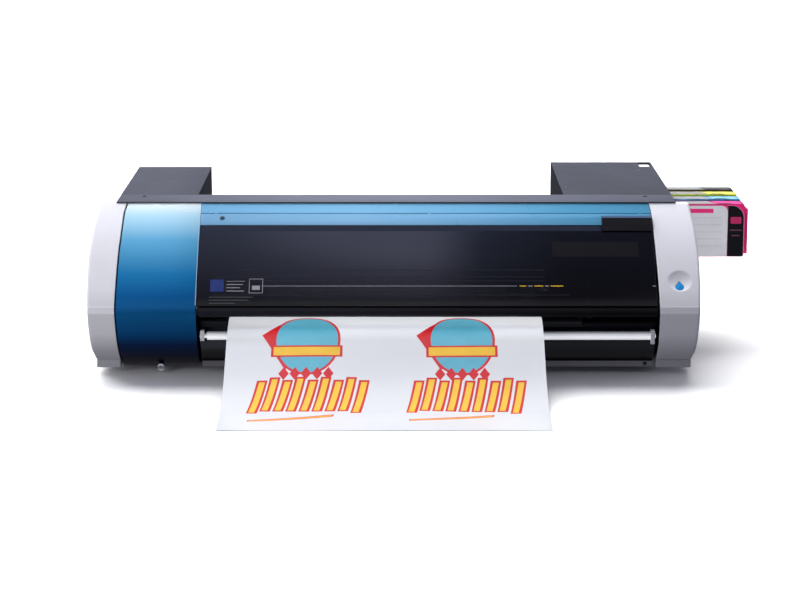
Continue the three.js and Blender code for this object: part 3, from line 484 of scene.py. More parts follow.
def smooth_cad(name, material):
    node = NODES[name]
    node.data.materials.clear()
    node.data.materials.append(material)
    for polygon in node.data.polygons:
        polygon.use_smooth = True
        polygon.material_index = 0
    if node.data.has_custom_normals:
        with bpy.context.temp_override(object=node, active_object=node, selected_objects=[node]):
            bpy.ops.mesh.customdata_custom_splitnormals_clear()
    weld = node.modifiers.new("weld", "WELD")
    weld.merge_threshold = 0.00001
    flat = node.modifiers.new("flat", "DECIMATE")
    flat.decimate_type = "DISSOLVE"
    flat.angle_limit = math.radians(0.4)
    if name in ROUNDING:
        bevel = node.modifiers.new("round", "BEVEL")
        bevel.width = ROUNDING[name] * MM
        bevel.segments = 3
        bevel.limit_method = "ANGLE"
        bevel.angle_limit = math.radians(32)
        bevel.use_clamp_overlap = True
        bevel.harden_normals = False
    split = node.modifiers.new("split", "EDGE_SPLIT")
    split.split_angle = math.radians(32)
    return node


SPECIAL = {
    "cover_top_rail": blue_rail("blue_strip_lacquer", (1.0, 0.87, 0.87)),
    # The roof's ramp across X is painted light, lightest in the middle.
    "roof_front_panel": powder("roof_paint", (0.062, 0.066, 0.087), painted_light_across=[
        (0.05, 1.0), (0.33, 1.65), (0.54, 1.8), (0.79, 1.3), (1.0, 1.0)]),
    "media_guide_bar": metal("bar_finish", (0.8, 0.81, 0.84), 0.4, metallic=0.35),
    "cover_grip": moulded("grip_plastic", (0.0015, 0.0015, 0.003), 0.45),
    # The lip's fade is a painted reflection at the left that gives way to painted shade at the right.
    "outlet_lip": gloss("lip_finish", (0.013, 0.013, 0.02), 0.2, 0.1, painted_light_fade=(1.0, 0.08)),
    "lower_front_panel": fascia(),
    "front_platen": gloss("platen_finish", (0.004, 0.005, 0.009), 0.3, 0.1),
}
for node_name in NODES:
    slot_name = SLOT_OF[node_name]
    if node_name == "left_front_cover":
        chosen = BLUE_COVER
    elif node_name in SPECIAL:
        chosen = SPECIAL[node_name]
    elif slot_name == "blue_panel":
        chosen = BLUE_RAIL
    else:
        chosen = MAT[slot_name]
    smooth_cad(node_name, chosen)

# ------------------------------------------------------------------ mesh helpers
def make(name, points, faces, material, body="chassis", slot=None, replaced=None, split=30, rounding=0, extra=()):
    """A piece from points in the machine's mm. It rides on a body; the slot argument is not used."""
    mesh = bpy.data.meshes.new(name)
    mesh.from_pydata([at(*p) for p in points], [], faces)
    mesh.materials.append(material)
    for other in extra:
        mesh.materials.append(other)
    tidy = bmesh.new()
    tidy.from_mesh(mesh)
    bmesh.ops.remove_doubles(tidy, verts=tidy.verts, dist=1e-7)
    bmesh.ops.recalc_face_normals(tidy, faces=tidy.faces)
    tidy.to_mesh(mesh)
    tidy.free()
    for polygon in mesh.polygons:
        polygon.use_smooth = True
    piece = bpy.data.objects.new(name, mesh)
    bpy.context.scene.collection.objects.link(piece)
    if rounding:
        bevel = piece.modifiers.new("round", "BEVEL")
        bevel.width = rounding * MM
        bevel.segments = 3
        bevel.limit_method = "ANGLE"
        bevel.angle_limit = math.radians(32)
    if split:
        crisp = piece.modifiers.new("split", "EDGE_SPLIT")
        crisp.split_angle = math.radians(split)
    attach(piece, body)
    if replaced:
        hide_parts(replaced)
    return piece


def prism(outline, low, high, axis):
    """Points and faces of an outline drawn out along an axis: 0 is X, 1 is Y and 2 is Z."""
    def place(pair, along):
        return tuple(pair[:axis]) + (along,) + tuple(pair[axis:])
    n = len(outline)
    points = [place(tuple(p), low) for p in outline] + [place(tuple(p), high) for p in outline]
    faces = [tuple(range(n)), tuple(range(2 * n - 1, n - 1, -1))]
    faces += [(i, (i + 1) % n, n + (i + 1) % n, n + i) for i in range(n)]
    return points, faces


def turned(profile, centre, out, count=32):
    """Points and faces of a profile of (radius, height) pairs turned about a direction."""
    out = Vector(out).normalized()
    side = out.orthogonal().normalized()
    third = out.cross(side)
    points, faces = [], []
    for radius, height in profile:
        for k in range(count):
            angle = 2 * math.pi * k / count
            way = side * math.cos(angle) + third * math.sin(angle)
            points.append(tuple(Vector(centre) + way * radius + out * height))
    rings = len(profile)
    for r in range(rings - 1):
        for k in range(count):
            a, b = r * count + k, r * count + (k + 1) % count
            faces.append((a, b, b + count, a + count))
    faces.append(tuple(range(count)))
    faces.append(tuple(range(rings * count - 1, (rings - 1) * count - 1, -1)))
    return points, faces


def rounded(x0, x1, y0, y1, corners, steps=8):
    """A rectangle's outline with a radius at each corner, from low left round to high left."""
    middles = [(x0, y0, 1, 1, 180), (x1, y0, -1, 1, 270), (x1, y1, -1, -1, 0), (x0, y1, 1, -1, 90)]
    outline = []
    for (x, y, dx, dy, turn), radius in zip(middles, corners):
        for k in range(steps + 1 if radius else 1):
            angle = math.radians(turn + (90 * k / steps if radius else 0))
            cx, cy = x + dx * radius, y + dy * radius
            outline.append((cx + radius * math.cos(angle), cy + radius * math.sin(angle)))
    return outline


def along(table, z):
    """A smooth curve through (value, z) pairs listed by rising or falling z."""
    rows = sorted(table, key=lambda row: row[1])
    z = min(max(z, rows[0][1]), rows[-1][1])
    k = max(i for i in range(len(rows) - 1) if rows[i][1] <= z)

    def slope(i):
        a, b = rows[max(i - 1, 0)], rows[min(i + 1, len(rows) - 1)]
        return (b[0] - a[0]) / (b[1] - a[1])
    (v0, z0), (v1, z1) = rows[k], rows[k + 1]
    gap = z1 - z0
    t = (z - z0) / gap
    return ((2 * t ** 3 - 3 * t ** 2 + 1) * v0 + (t ** 3 - 2 * t ** 2 + t) * gap * slope(k)
            + (3 * t ** 2 - 2 * t ** 3) * v1 + (t ** 3 - t ** 2) * gap * slope(k + 1))


def inset(line, depth):
    """A polyline of (y, z) moved inwards, with its corners mitred."""
    ways = []
    for (ay, az), (by, bz) in zip(line, line[1:]):
        size = math.hypot(by - ay, bz - az)
        ways.append(((bz - az) / size, -(by - ay) / size))
    moved = []
    for i, (y, z) in enumerate(line):
        a, b = ways[max(i - 1, 0)], ways[min(i, len(ways) - 1)]
        ny, nz = a[0] + b[0], a[1] + b[1]
        size = math.hypot(ny, nz)
        ny, nz = ny / size, nz / size
        reach = depth / max(0.5, ny * a[0] + nz * a[1])
        moved.append((y - ny * reach, z - nz * reach))
    return moved


# ------------------------------------------------------------------ end caps
HALF_WIDTH = span("right_end_cap", 0)[1]
CAP_BACK, CAP_BOTTOM, CAP_END = 10, 29.5, 0.85
PLINTH_INSET, PLINTH_BACK, WALL = 10.8, 3, 2.6
BARREL = [(10, 24), (9, 50), (7, 58), (5.4, 67), (4.6, 80), (3.8, 110), (3.6, 132), (3, 149), (2.2, 158),
          (1.3, 170), (0.7, 185), (0, 208), (0.5, 226), (1.3, 238), (2.2, 251), (3.8, 263), (6.4, 278), (8.6, 293)]
INNER = {
    -1: [(-457, 24), (-457.2, 45), (-458, 60), (-458.8, 80), (-459.5, 130), (-459.8, 170), (-459, 225),
         (-457.4, 250), (-456.8, 262), (-455.7, 278), (-454, 284), (-451.5, 293)],
    1: [(438, 24), (439, 45), (439.3, 60), (439.5, 80), (438.5, 130), (438.1, 170), (436.7, 225), (435.7, 250),
        (435.3, 262), (434.2, 278), (432.8, 284), (430.5, 293)],
}
HOUSING = {-1: -468, 1: 475.7}       # where the housing behind a cap begins
DISH = {"x": 473.3, "y": -123.5, "radius": 19.8, "depth": 3.6, "lip": 1.5}


def front_line(fine):
    """The cap's front profile as (y, z) points, finer where the dish is."""
    line = [(CAP_BACK, 290.6), (6, 290.6)]
    a, b = (2.4, 290.6), upper(0.008)[0]
    for k in range(5):
        t = k / 4
        line.append(tuple((1 - t) ** 2 * a[i] + 2 * t * (1 - t) * TOP[i] + t * t * b[i] for i in (0, 1)))
    length, t = 214.5, 0.008
    while t < 1:
        y = upper(t)[0][0]
        t += (0.7 if fine and -141 < y < -106 else 3.2) / length
        line.append(upper(min(t, 1))[0])
    line += [lower(CAP_END * k / 34)[0] for k in range(35)]
    return line


def dish_depth(distance):
    """How deep the dish is at a distance from its middle."""
    radius, depth, lip = DISH["radius"], DISH["depth"], DISH["lip"]
    ball = (radius ** 2 + depth ** 2) / (2 * depth)
    if distance >= radius + lip:
        return 0
    found = math.sqrt(ball ** 2 - min(distance, radius) ** 2) - (ball - depth)
    edge = (radius + lip - distance) / (2 * lip)
    if distance > radius - lip:
        start = math.sqrt(ball ** 2 - (radius - lip) ** 2) - (ball - depth)
        return start * edge ** 1.6
    return found


def end_cap(name, side, replaced):
    line = front_line(side > 0)
    middle = upper(0.769)[0]
    turn = [math.radians(90 * k / 6) for k in range(7)]
    # Each ring is a depth under the front and a way to find X from the two edges.
    rings = [(3.4, 0.0, 0)] + [(1.2 * (1 - math.cos(a)), 1.2 * (1 - math.sin(a)), 0) for a in reversed(turn[::2])]
    places = [0.02, 0.3, 0.6, 0.9, 0.98]
    if side > 0:
        places = [0.03, 0.1, 0.18] + [0.2 + 0.011 * k for k in range(62)] + [0.9, 0.95, 0.99]
    rings += [(0, place, 1) for place in places]
    rings += [(4.6 * (1 - math.cos(a)), 5 * (1 - math.sin(a)), 2) for a in turn]
    points, faces = [], []
    count = len(line)
    insets = {depth: inset(line, depth) for depth, _, _ in rings}
    for depth, place, kind in rings:
        for y, z in insets[depth]:
            inner = along(INNER[side], z)
            outer = side * (HALF_WIDTH - along(BARREL, z))
            if kind == 0:
                x = inner + side * place
            elif kind == 2:
                x = outer - side * place
            else:
                x = inner + side * 1.2 + (outer - side * 5 - inner - side * 1.2) * place
            if side > 0 and kind == 1:
                distance = math.hypot(x - DISH["x"], math.hypot(y - middle[0], z - middle[1]))
                sunk = dish_depth(distance)
                y, z = y + 0.707 * sunk, z - 0.707 * sunk
            points.append((x, y, z))
    for r in range(len(rings) - 1):
        for i in range(count - 1):
            a = r * count + i
            faces.append((a, a + 1, a + 1 + count, a + count))
    # The outer face runs straight back, and the back closes it down to the housing.
    last = (len(rings) - 1) * count
    back = len(points)
    columns = 4
    for c in range(1, columns + 1):
        for i in range(count):
            x, y, z = points[last + i]
            points.append((x, y + (CAP_BACK - y) * c / columns, z))
    for c in range(columns):
        a0 = last if c == 0 else back + (c - 1) * count
        b0 = back + c * count
        for i in range(count - 1):
            faces.append((a0 + i, a0 + i + 1, b0 + i + 1, b0 + i))
    edge = back + (columns - 1) * count
    wall = len(points)
    for i in range(count):
        x, _, z = points[edge + i]
        points.append((HOUSING[side], CAP_BACK, z))
    for i in range(count - 1):
        faces.append((edge + i, edge + i + 1, wall + i + 1, wall + i))
    # The underside, from the end of the lower arc back to the housing.
    floor_from = [r * count + count - 1 for r in range(1, len(rings))]
    under = len(points)
    for k in floor_from:
        x, y, z = points[k]
        points.append((x, CAP_BACK, points[last + count - 1][2]))
    for i in range(len(floor_from) - 1):
        faces.append((floor_from[i], floor_from[i + 1], under + i + 1, under + i))
    cap = make(name, points, faces, MAT["cap_plastic"], slot="cap_plastic", split=0, replaced=replaced)
    clean = bmesh.new()
    clean.from_mesh(cap.data)
    bmesh.ops.dissolve_degenerate(clean, edges=clean.edges, dist=2e-6)
    bmesh.ops.recalc_face_normals(clean, faces=clean.faces)
    # Outwards is away from the cap's inside.
    probe = max(clean.faces, key=lambda f: f.calc_center_median().z)
    if probe.normal.z < 0:
        bmesh.ops.reverse_faces(clean, faces=clean.faces)
    clean.to_mesh(cap.data)
    clean.free()
    shell = cap.modifiers.new("wall", "SOLIDIFY")
    shell.thickness = WALL * MM
    shell.offset = -1
    return cap


# The plinth's plastic is darker than the caps' as painted contact shade near the floor.
PLINTH_PAINTED_SHADE = moulded("plinth_plastic", (0.4, 0.4, 0.44), 0.5, tint=0.02)


def plinth(name, side):
    """The foot under a cap: a bevelled block set back from the cap's faces."""
    end = lower(CAP_END)[0]
    x = sorted((along(INNER[side], 45), side * (HALF_WIDTH - PLINTH_INSET)))
    outline = rounded(x[0], x[1], end[0] + PLINTH_BACK, CAP_BACK, (2.5, 2.5, 0, 0) if side else ())
    return make(name, *prism(outline, CAP_BOTTOM, end[1] - 0.2, 2), PLINTH_PAINTED_SHADE, slot="cap_plastic", rounding=0.6)


left_cap = end_cap("left_cap_shell", -1, "left_end_cap")
right_cap = end_cap("right_cap_shell", 1, "right_end_cap")
plinth("left_cap_plinth", -1)
plinth("right_cap_plinth", 1)

# The well for the power button is cut through the dish.
BUTTON_X, BUTTON_Y, BUTTON_RADIUS, BUTTON_TIP = 472.3, -130.3, 7, 12


def cut_well(cap):
    found = min((upper(k / 400)[0] for k in range(401)), key=lambda p: abs(p[0] - BUTTON_Y))
    out = Vector((0, -0.707, 0.707))
    up = Vector((0, 0.707, 0.707))
    across = Vector((1, 0, 0))
    grow = 0.35
    radius, tip = BUTTON_RADIUS + grow, BUTTON_TIP + 2 * grow
    open_angle = math.acos(radius / tip)
    outline = [(0, tip)]
    for k in range(25):
        angle = math.pi / 2 + open_angle + (2 * math.pi - 2 * open_angle) * k / 24
        outline.append((radius * math.cos(angle), radius * math.sin(angle)))
    centre = Vector((BUTTON_X, found[0], found[1]))
    points = []
    for height in (-12, 6):
        points += [tuple(centre + across * a + up * b + out * height) for a, b in outline]
    n = len(outline)
    faces = [tuple(range(n)), tuple(range(2 * n - 1, n - 1, -1))]
    faces += [(i, (i + 1) % n, n + (i + 1) % n, n + i) for i in range(n)]
    mesh = bpy.data.meshes.new("well")
    mesh.from_pydata([at(*p) for p in points], [], faces)
    solid = bmesh.new()
    solid.from_mesh(mesh)
    bmesh.ops.recalc_face_normals(solid, faces=solid.faces)
    solid.to_mesh(mesh)
    solid.free()
    well = bpy.data.objects.new("well", mesh)
    bpy.context.scene.collection.objects.link(well)
    hole = cap.modifiers.new("well", "BOOLEAN")
    hole.operation = "DIFFERENCE"
    hole.object = well
    hole.solver = "EXACT"
    bpy.context.view_layer.update()
    done = bpy.data.meshes.new_from_object(cap.evaluated_get(bpy.context.evaluated_depsgraph_get()))
    cap.modifiers.clear()
    cap.data = done
    bpy.data.objects.remove(well)


cut_well(right_cap)
for cap in (left_cap, right_cap):
    crisp = cap.modifiers.new("split", "EDGE_SPLIT")
    crisp.split_angle = math.radians(21)

# ------------------------------------------------------------------ printed sheet
MEDIA = span("vinyl_sheet", 0)
MEDIA_FRONT = span("vinyl_sheet", 1)[0]
LIFT, LOW, FILM = 118.7, span("vinyl_sheet", 2)[0] + 0.4, 0.4
FALL = [(-118, LIFT), (-135, LIFT - 1.1), (-152, 113.8), (-170, 107.8), (-195, 96.3), (-233, 72.5), (-270, 50.5),
        (-301, 36), (-331, 25.8), (-362, 19.6), (-392, LOW)]


def sheet_line():
    """The sheet's path from the roll over the platen to the table, as (y, z) points."""
    low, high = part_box("media_roll")
    low, high = local(low), local(high)
    roll = ((low.y + high.y) / 2, (low.z + high.z) / 2)
    reach = (high.z - low.z) / 2 + 0.6 + FILM
    guide = (92, LIFT)
    dy, dz = roll[0] - guide[0], roll[1] - guide[1]
    distance = math.hypot(dy, dz)
    angle = math.atan2(dz, dy) + math.asin(reach / distance)
    run = math.sqrt(distance ** 2 - reach ** 2)
    leave = (guide[0] + run * math.cos(angle), guide[1] + run * math.sin(angle))
    line = [tuple(leave[i] + (guide[i] - leave[i]) * k / 12 for i in (0, 1)) for k in range(12)]
    line += [(guide[0] + (-118 - guide[0]) * k / 16, LIFT) for k in range(16)]
    for i in range(len(FALL) - 1):
        p0, p1, p2, p3 = FALL[max(i - 1, 0)], FALL[i], FALL[i + 1], FALL[min(i + 2, len(FALL) - 1)]
        for k in range(6):
            t = k / 6
            point = []
            for j in (0, 1):
                v0, v1 = (p2[j] - p0[j]) / 2, (p3[j] - p1[j]) / 2
                point.append((2 * p1[j] - 2 * p2[j] + v0 + v1) * t ** 3
                             + (3 * p2[j] - 3 * p1[j] - 2 * v0 - v1) * t ** 2 + v0 * t + p1[j])
            line.append((point[0], max(point[1], LOW)))
    line += [(-392 + (MEDIA_FRONT + 392) * k / 8, LOW) for k in range(9)]
    return line


PATH = sheet_line()
PAPER, RED, SKY, YELLOW, DEEP = range(5)


def ring(cx, cy, rx, ry, start=0, stop=360, count=40):
    return [(cx + rx * math.cos(math.radians(start + (stop - start) * k / count)),
             cy + ry * math.sin(math.radians(start + (stop - start) * k / count))) for k in range(count)]


def artwork(x):
    """One print as (colour, outline) layers in X and Y, of plain shapes in a print's usual colours."""
    layers = []
    layers.append((RED, [(x - 74, -182), (x - 34, -140), (x + 4, -182), (x - 34, -252)]))
    layers.append((RED, ring(x, -192, 54.5, 70)))
    layers.append((SKY, ring(x, -192, 50.5, 65.5)))
    layers.append((RED, [(x - 58, -204), (x + 58, -204), (x + 58, -226), (x - 58, -226)]))
    layers.append((YELLOW, [(x - 54, -207), (x + 54, -207), (x + 54, -223), (x - 54, -223)]))
    for k in range(5):
        middle = x - 36 + 18 * k
        layers.append((RED, [(middle, -246), (middle + 8.5, -259), (middle, -272), (middle - 8.5, -259)]))
    for k in range(9):
        left = x - 90 + 20.5 * k
        lean = 13
        tall = 6 if k % 2 else 0
        low, high = -352 - (8 if k in (0, 8) else 0), -276 + tall
        layers.append((RED, [(left - 1, low - 4), (left + 16, low - 4), (left + 16 + lean, high + 4), (left - 1 + lean, high + 4)]))
        layers.append((YELLOW, [(left + 2.5, low), (left + 12, low), (left + 12 + lean, high), (left + 2.5 + lean, high)]))
    layers.append((RED, [(x - 87, -398), (x - 86, -407), (x + 46, -379), (x + 48, -368)]))
    layers.append((YELLOW, [(x - 84.5, -400.5), (x - 84, -404.5), (x + 44, -376.5), (x + 45, -371.5)]))
    return layers


def on_sheet(x, y, depth=0.0):
    """The sheet's surface over a place in X and Y, with a slight waviness towards the free end."""
    rows = PATH
    k = 0
    while k < len(rows) - 2 and rows[k + 1][0] > y:
        k += 1
    (ya, za), (yb, zb) = rows[k], rows[k + 1]
    t = 0 if ya == yb else (y - ya) / (yb - ya)
    size = math.dist(rows[k], rows[k + 1])
    ny, nz = -(zb - za) / size, (yb - ya) / size
    if nz < 0:
        ny, nz = -ny, -nz
    free = min(max((-150 - y) / 120, 0), 1) * min(max((y + 470) / 60, 0), 1)
    wave = free * (0.9 * math.sin(x / 61 + y / 83) + 0.5 * math.sin(x / 37 - y / 49) + 0.9)
    return x, y - ny * depth, za + (zb - za) * t + wave - nz * depth


def printed_sheet():
    from mathutils.geometry import delaunay_2d_cdt
    corners = [(MEDIA[0], PATH[0][0]), (MEDIA[1], PATH[0][0]), (MEDIA[1], MEDIA_FRONT), (MEDIA[0], MEDIA_FRONT)]
    points, edges, outlines, colours = [], [], [], []

    def line(a, b):
        points.extend((Vector(a), Vector(b)))
        edges.append((len(points) - 2, len(points) - 1))
    for y, _ in PATH[1:-1]:
        line((MEDIA[0], y), (MEDIA[1], y))
    columns = 26
    for k in range(1, columns):
        x = MEDIA[0] + (MEDIA[1] - MEDIA[0]) * k / columns
        line((x, PATH[0][0]), (x, MEDIA_FRONT))

    def area(colour, outline):
        start = len(points)
        points.extend(Vector(p) for p in outline)
        outlines.append(list(range(start, len(points))))
        colours.append(colour)
    area(PAPER, corners)
    for x in (-141, 111):
        for colour, outline in artwork(x):
            turn = sum(a[0] * b[1] - b[0] * a[1] for a, b in zip(outline, outline[1:] + outline[:1]))
            area(colour, outline if turn > 0 else outline[::-1])
    if sum(a[0] * b[1] - b[0] * a[1] for a, b in zip(corners, corners[1:] + corners[:1])) < 0:
        outlines[0] = outlines[0][::-1]
    verts, _, faces, _, _, origins = delaunay_2d_cdt(points, edges, outlines, 1, 0.01)
    flat = [(v.x, v.y) for v in verts]
    n = len(flat)
    solid = [on_sheet(x, y) for x, y in flat] + [on_sheet(x, y, FILM - 0.05) for x, y in flat]
    inked, plain, used = [], [], {}
    for face, owners in zip(faces, origins):
        if not owners:
            continue
        inked.append(tuple(face))
        plain.append(colours[max(owners)])
        for i in range(len(face)):
            pair = (face[i], face[(i + 1) % len(face)])
            used[pair] = True
    every = list(inked)
    every += [tuple(n + i for i in reversed(face)) for face in inked]
    rim = [(a, b) for a, b in used if (b, a) not in used]
    every += [(b, a, a + n, b + n) for a, b in rim]
    mesh = bpy.data.meshes.new("printed_sheet")
    mesh.from_pydata([at(*p) for p in solid], [], every)
    for material in (MAT["vinyl"], INKS["print_red"], INKS["print_sky"], INKS["print_yellow"], INKS["print_deep"]):
        mesh.materials.append(material)
    for polygon, colour in zip(mesh.polygons, plain):
        polygon.material_index = colour
    for polygon in mesh.polygons:
        polygon.use_smooth = True
    clean = bmesh.new()
    clean.from_mesh(mesh)
    bmesh.ops.recalc_face_normals(clean, faces=clean.faces)
    clean.to_mesh(mesh)
    clean.free()
    sheet = bpy.data.objects.new("printed_sheet", mesh)
    bpy.context.scene.collection.objects.link(sheet)
    crisp = sheet.modifiers.new("split", "EDGE_SPLIT")
    crisp.split_angle = math.radians(50)
    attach(sheet, "chassis")
    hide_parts("vinyl_sheet")
    return sheet


SHEET = printed_sheet()

# ------------------------------------------------------------------ ink cartridges
INK_END, INK_TAB, INK_BOTTOM, INK_TOP, INK_THICK = 611.5, 617.8, 175, 269, 29


def cartridge(ink):
    material = MAT[f"ink_{ink}"]
    body, slot = f"cartridge_{ink}", f"ink_{ink}"
    front = span(f"ink_cartridge_{ink}", 1)[0]
    back = front + INK_THICK
    inner = span(f"ink_cartridge_{ink}", 0)[0]
    name = f"ink_{ink}"
    outline = rounded(inner, INK_END, INK_BOTTOM, INK_TOP, (1.5, 3, 5, 1.5))
    shell = make(f"{name}_shell", *prism(outline, front + 0.3, back, 1), material, body, slot,
                 replaced=f"ink_cartridge_{ink}", rounding=1.4)
    tab = rounded(INK_END - 6, INK_TAB, INK_BOTTOM + 5, INK_TOP - 9, (0, 1.5, 1.5, 0))
    make(f"{name}_tab", *prism(tab, front + 4, back - 4, 1), material, body, slot, rounding=0.8)
    for k in range(3):
        grip = rounded(INK_TAB - 4.8 + k * 1.5, INK_TAB - 4.1 + k * 1.5, INK_BOTTOM + 12, INK_TOP - 16, (0.3,) * 4, 3)
        make(f"{name}_grip_{k}", *prism(grip, front + 3.6, front + 5, 1), material, body, slot)
    paper = rounded(470, 581.8, INK_BOTTOM + 1, INK_TOP - 3.2, (0, 2, 11, 0))
    make(f"{name}_label", *prism(paper, front, front + 0.6, 1), INKS["label_paper"], body, slot)
    panel = rounded(582.4, 610.2, INK_BOTTOM + 1, INK_TOP - 3.2, (0, 3, 22, 0), 12)
    make(f"{name}_panel", *prism(panel, front, front + 0.6, 1), INKS["label_black"], body, slot)
    line = rounded(581.9, 611.2, INK_BOTTOM + 0.2, INK_TOP - 2.4, (0, 3.5, 22.6, 0), 12)
    make(f"{name}_border", *prism(line, front + 0.15, front + 0.6, 1), INKS["label_line"], body, slot)
    mark = rounded(500, 557, 253, 260.5, (1, 1, 1, 1), 3)
    make(f"{name}_mark", *prism(mark, front - 0.08, front + 0.3, 1), material, body, slot)
    for k, z in enumerate((244.5, 232, 219.5, 207, 194.5)):
        band = rounded(505, 573, z - 1, z + 1, (0.6,) * 4, 3)
        make(f"{name}_band_{k}", *prism(band, front - 0.06, front + 0.3, 1), INKS["label_band"], body, slot)
    square = rounded(587, 606, 234, 246, (1, 1, 1, 1), 3)
    make(f"{name}_square", *prism(square, front - 0.08, front + 0.3, 1), INKS[f"deep_{ink}"], body, slot)
    for k, (z, half) in enumerate(((222.5, 10.5), (213, 7))):
        dash = rounded(596.5 - half, 596.5 + half, z - 1.2, z + 1.2, (1,) * 4, 3)
        make(f"{name}_dash_{k}", *prism(dash, front - 0.08, front + 0.3, 1), INKS["label_line"], body, slot)
    top = [(470, front + 1.4), (560, front + 1.4), (548, back - 1.6), (470, back - 1.6)]
    make(f"{name}_top_label", *prism(top, INK_TOP - 0.3, INK_TOP + 0.25, 2), INKS["label_top"], body, slot)
    # Painted highlight: a lighter copy of the ink along the top's front.
    edge = [(562, front + 1.6), (605, front + 1.6), (605, back - 2), (556, back - 2)]
    make(f"{name}_top_edge", *prism(edge, INK_TOP - 0.3, INK_TOP + 0.12, 2), INKS[f"light_{ink}"], body, slot)
    dark = [(562, front + 1.2), (590, front + 1.2), (584, front + 7), (567, front + 7)]
    make(f"{name}_top_panel", *prism(dark, INK_TOP - 0.3, INK_TOP + 0.25, 2), INKS["label_black"], body, slot)
    return shell


INK_NAMES = ("magenta", "cyan", "yellow", "black")
for ink_name in INK_NAMES:
    cartridge(ink_name)


# ------------------------------------------------------------------ small parts
def screw(name, centre, out, radius, material, body="chassis", slot="steel", height=1.2):
    """A pan-head screw with a domed head, and a cross of black bars on it as painted shade for its recess."""
    profile = [(radius * 0.98, -0.6), (radius, 0), (radius, height * 0.35), (radius * 0.9, height * 0.7),
               (radius * 0.65, height * 0.93), (radius * 0.3, height)]
    make(name, *turned(profile, centre, out, 28), material, body, slot, split=40)
    out = Vector(out).normalized()
    side = out.orthogonal().normalized()
    third = out.cross(side)
    # The black bars are painted shade for the cross recess.
    for k, (a, b) in enumerate(((side, third), (third, side))):
        points = []
        for level in (height * 0.8, height + 0.06):
            for u, v in ((-0.5, -0.09), (0.5, -0.09), (0.5, 0.09), (-0.5, 0.09)):
                points.append(tuple(Vector(centre) + a * u * radius + b * v * radius + out * level))
        faces = [(0, 1, 2, 3), (7, 6, 5, 4), (0, 1, 5, 4), (1, 2, 6, 5), (2, 3, 7, 6), (3, 0, 4, 7)]
        make(f"{name}_slot_{k}", points, faces, MAT["black_gloss"], body, "black_gloss")


def over_arc(name, x0, x1, t0, t1, low, high, material, body="front_cover", slot="black_gloss", steps=10, rounding=0):
    """A strip that follows the upper front curve between two heights above it."""
    outer = [offset(upper(t0 + (t1 - t0) * k / steps), high) for k in range(steps + 1)]
    inner = [offset(upper(t0 + (t1 - t0) * k / steps), low) for k in range(steps + 1)]
    return make(name, *prism(outer + inner[::-1], x0, x1, 0), material, body, slot, rounding=rounding)


ROOF_TOP = 293
for k, x in enumerate((-428, 431)):
    screw(f"roof_screw_{k}", (x, 53.5, ROOF_TOP), (0, 0, 1), 3.6, MAT["black_gloss"], slot="black_gloss", height=0.9)
COVER_LEFT, COVER_RIGHT = span("cover_window", 0)
PALE = printed("pale_print", (0.3, 0.3, 0.33), 0.3)
FAINT = printed("faint_print", (0.01, 0.01, 0.016), 0.3)
MAUVE_LINE = printed("mauve_line_print", (0.11, 0.11, 0.13), 0.3)
MAUVE = printed("mauve_print", (0.009, 0.013, 0.028), 0.3, 0.12, 0.3)


def window_line(name, x0, x1, t, width, material):
    half = width / 2 / 214.5
    over_arc(name, x0, x1, t - half, t + half, -0.3, 0.12, material, steps=3)


window_line("window_line_main", -218, 204, 0.8145, 0.9, PALE)
for k, (x0, x1) in enumerate(((208, 219), (222, 229), (232, 247), (250, 256), (259, 280))):
    window_line(f"window_mark_{k}", x0, x1, 0.8145, 1.6, INKS["print_yellow"] if k % 2 == 0 else PALE)
for k, (t, x0, x1) in enumerate(((0.67, -260, 250), (0.7335, -290, 250), (0.7695, -290, 250), (0.8935, -300, 290))):
    window_line(f"window_faint_{k}", x0, x1, t, 1.1, FAINT)
over_arc("window_plate", 264, 408, 0.405, 0.549, -0.3, 0.1, printed("plate_print", (0.0045, 0.0045, 0.006), 0.3, 0.05, 0.25), steps=16)
# A lighter blue-grey strip on the grip's top face is a painted highlight.
grip_back = offset(upper(0.138), 0.3)
grip_top = [(grip_back[0] - 1.2, grip_back[1] - 0.2), (grip_back[0] - 16.6, grip_back[1] - 0.9),
            (grip_back[0] - 16.6, grip_back[1] - 0.5), (grip_back[0] - 1.2, grip_back[1] + 0.22)]
make("grip_top", *prism(grip_top, span("cover_grip", 0)[0] + 0.8, span("cover_grip", 0)[1] - 0.8, 0),
     moulded("grip_top_plastic", (0.035, 0.055, 0.11), 0.35), "front_cover", "black_gloss")
over_arc("window_band", COVER_LEFT + 4, 348, 0.2445, 0.2955, -0.3, 0.08, MAUVE, steps=6)

# A pale strip down the left cover's edge is a painted highlight on its bevel; an aluminium strip runs along the roof's
# front edge.
EDGE_PAINTED_HIGHLIGHT = moulded("edge_light", (0.45, 0.58, 0.72), 0.3, tint=0.02)
over_arc("cover_bevel", -326.9, -326.1, 0.02, 0.985, -0.6, 0.35, EDGE_PAINTED_HIGHLIGHT, "chassis", "blue_panel", 40)
roof_edge = [(-0.5, 292.4), (-0.45, 293.1), (0.9, 293.25), (1.0, 292.6)]
make("roof_edge", *prism(roof_edge, COVER_LEFT, 432, 0), MAT["aluminium"], slot="aluminium")

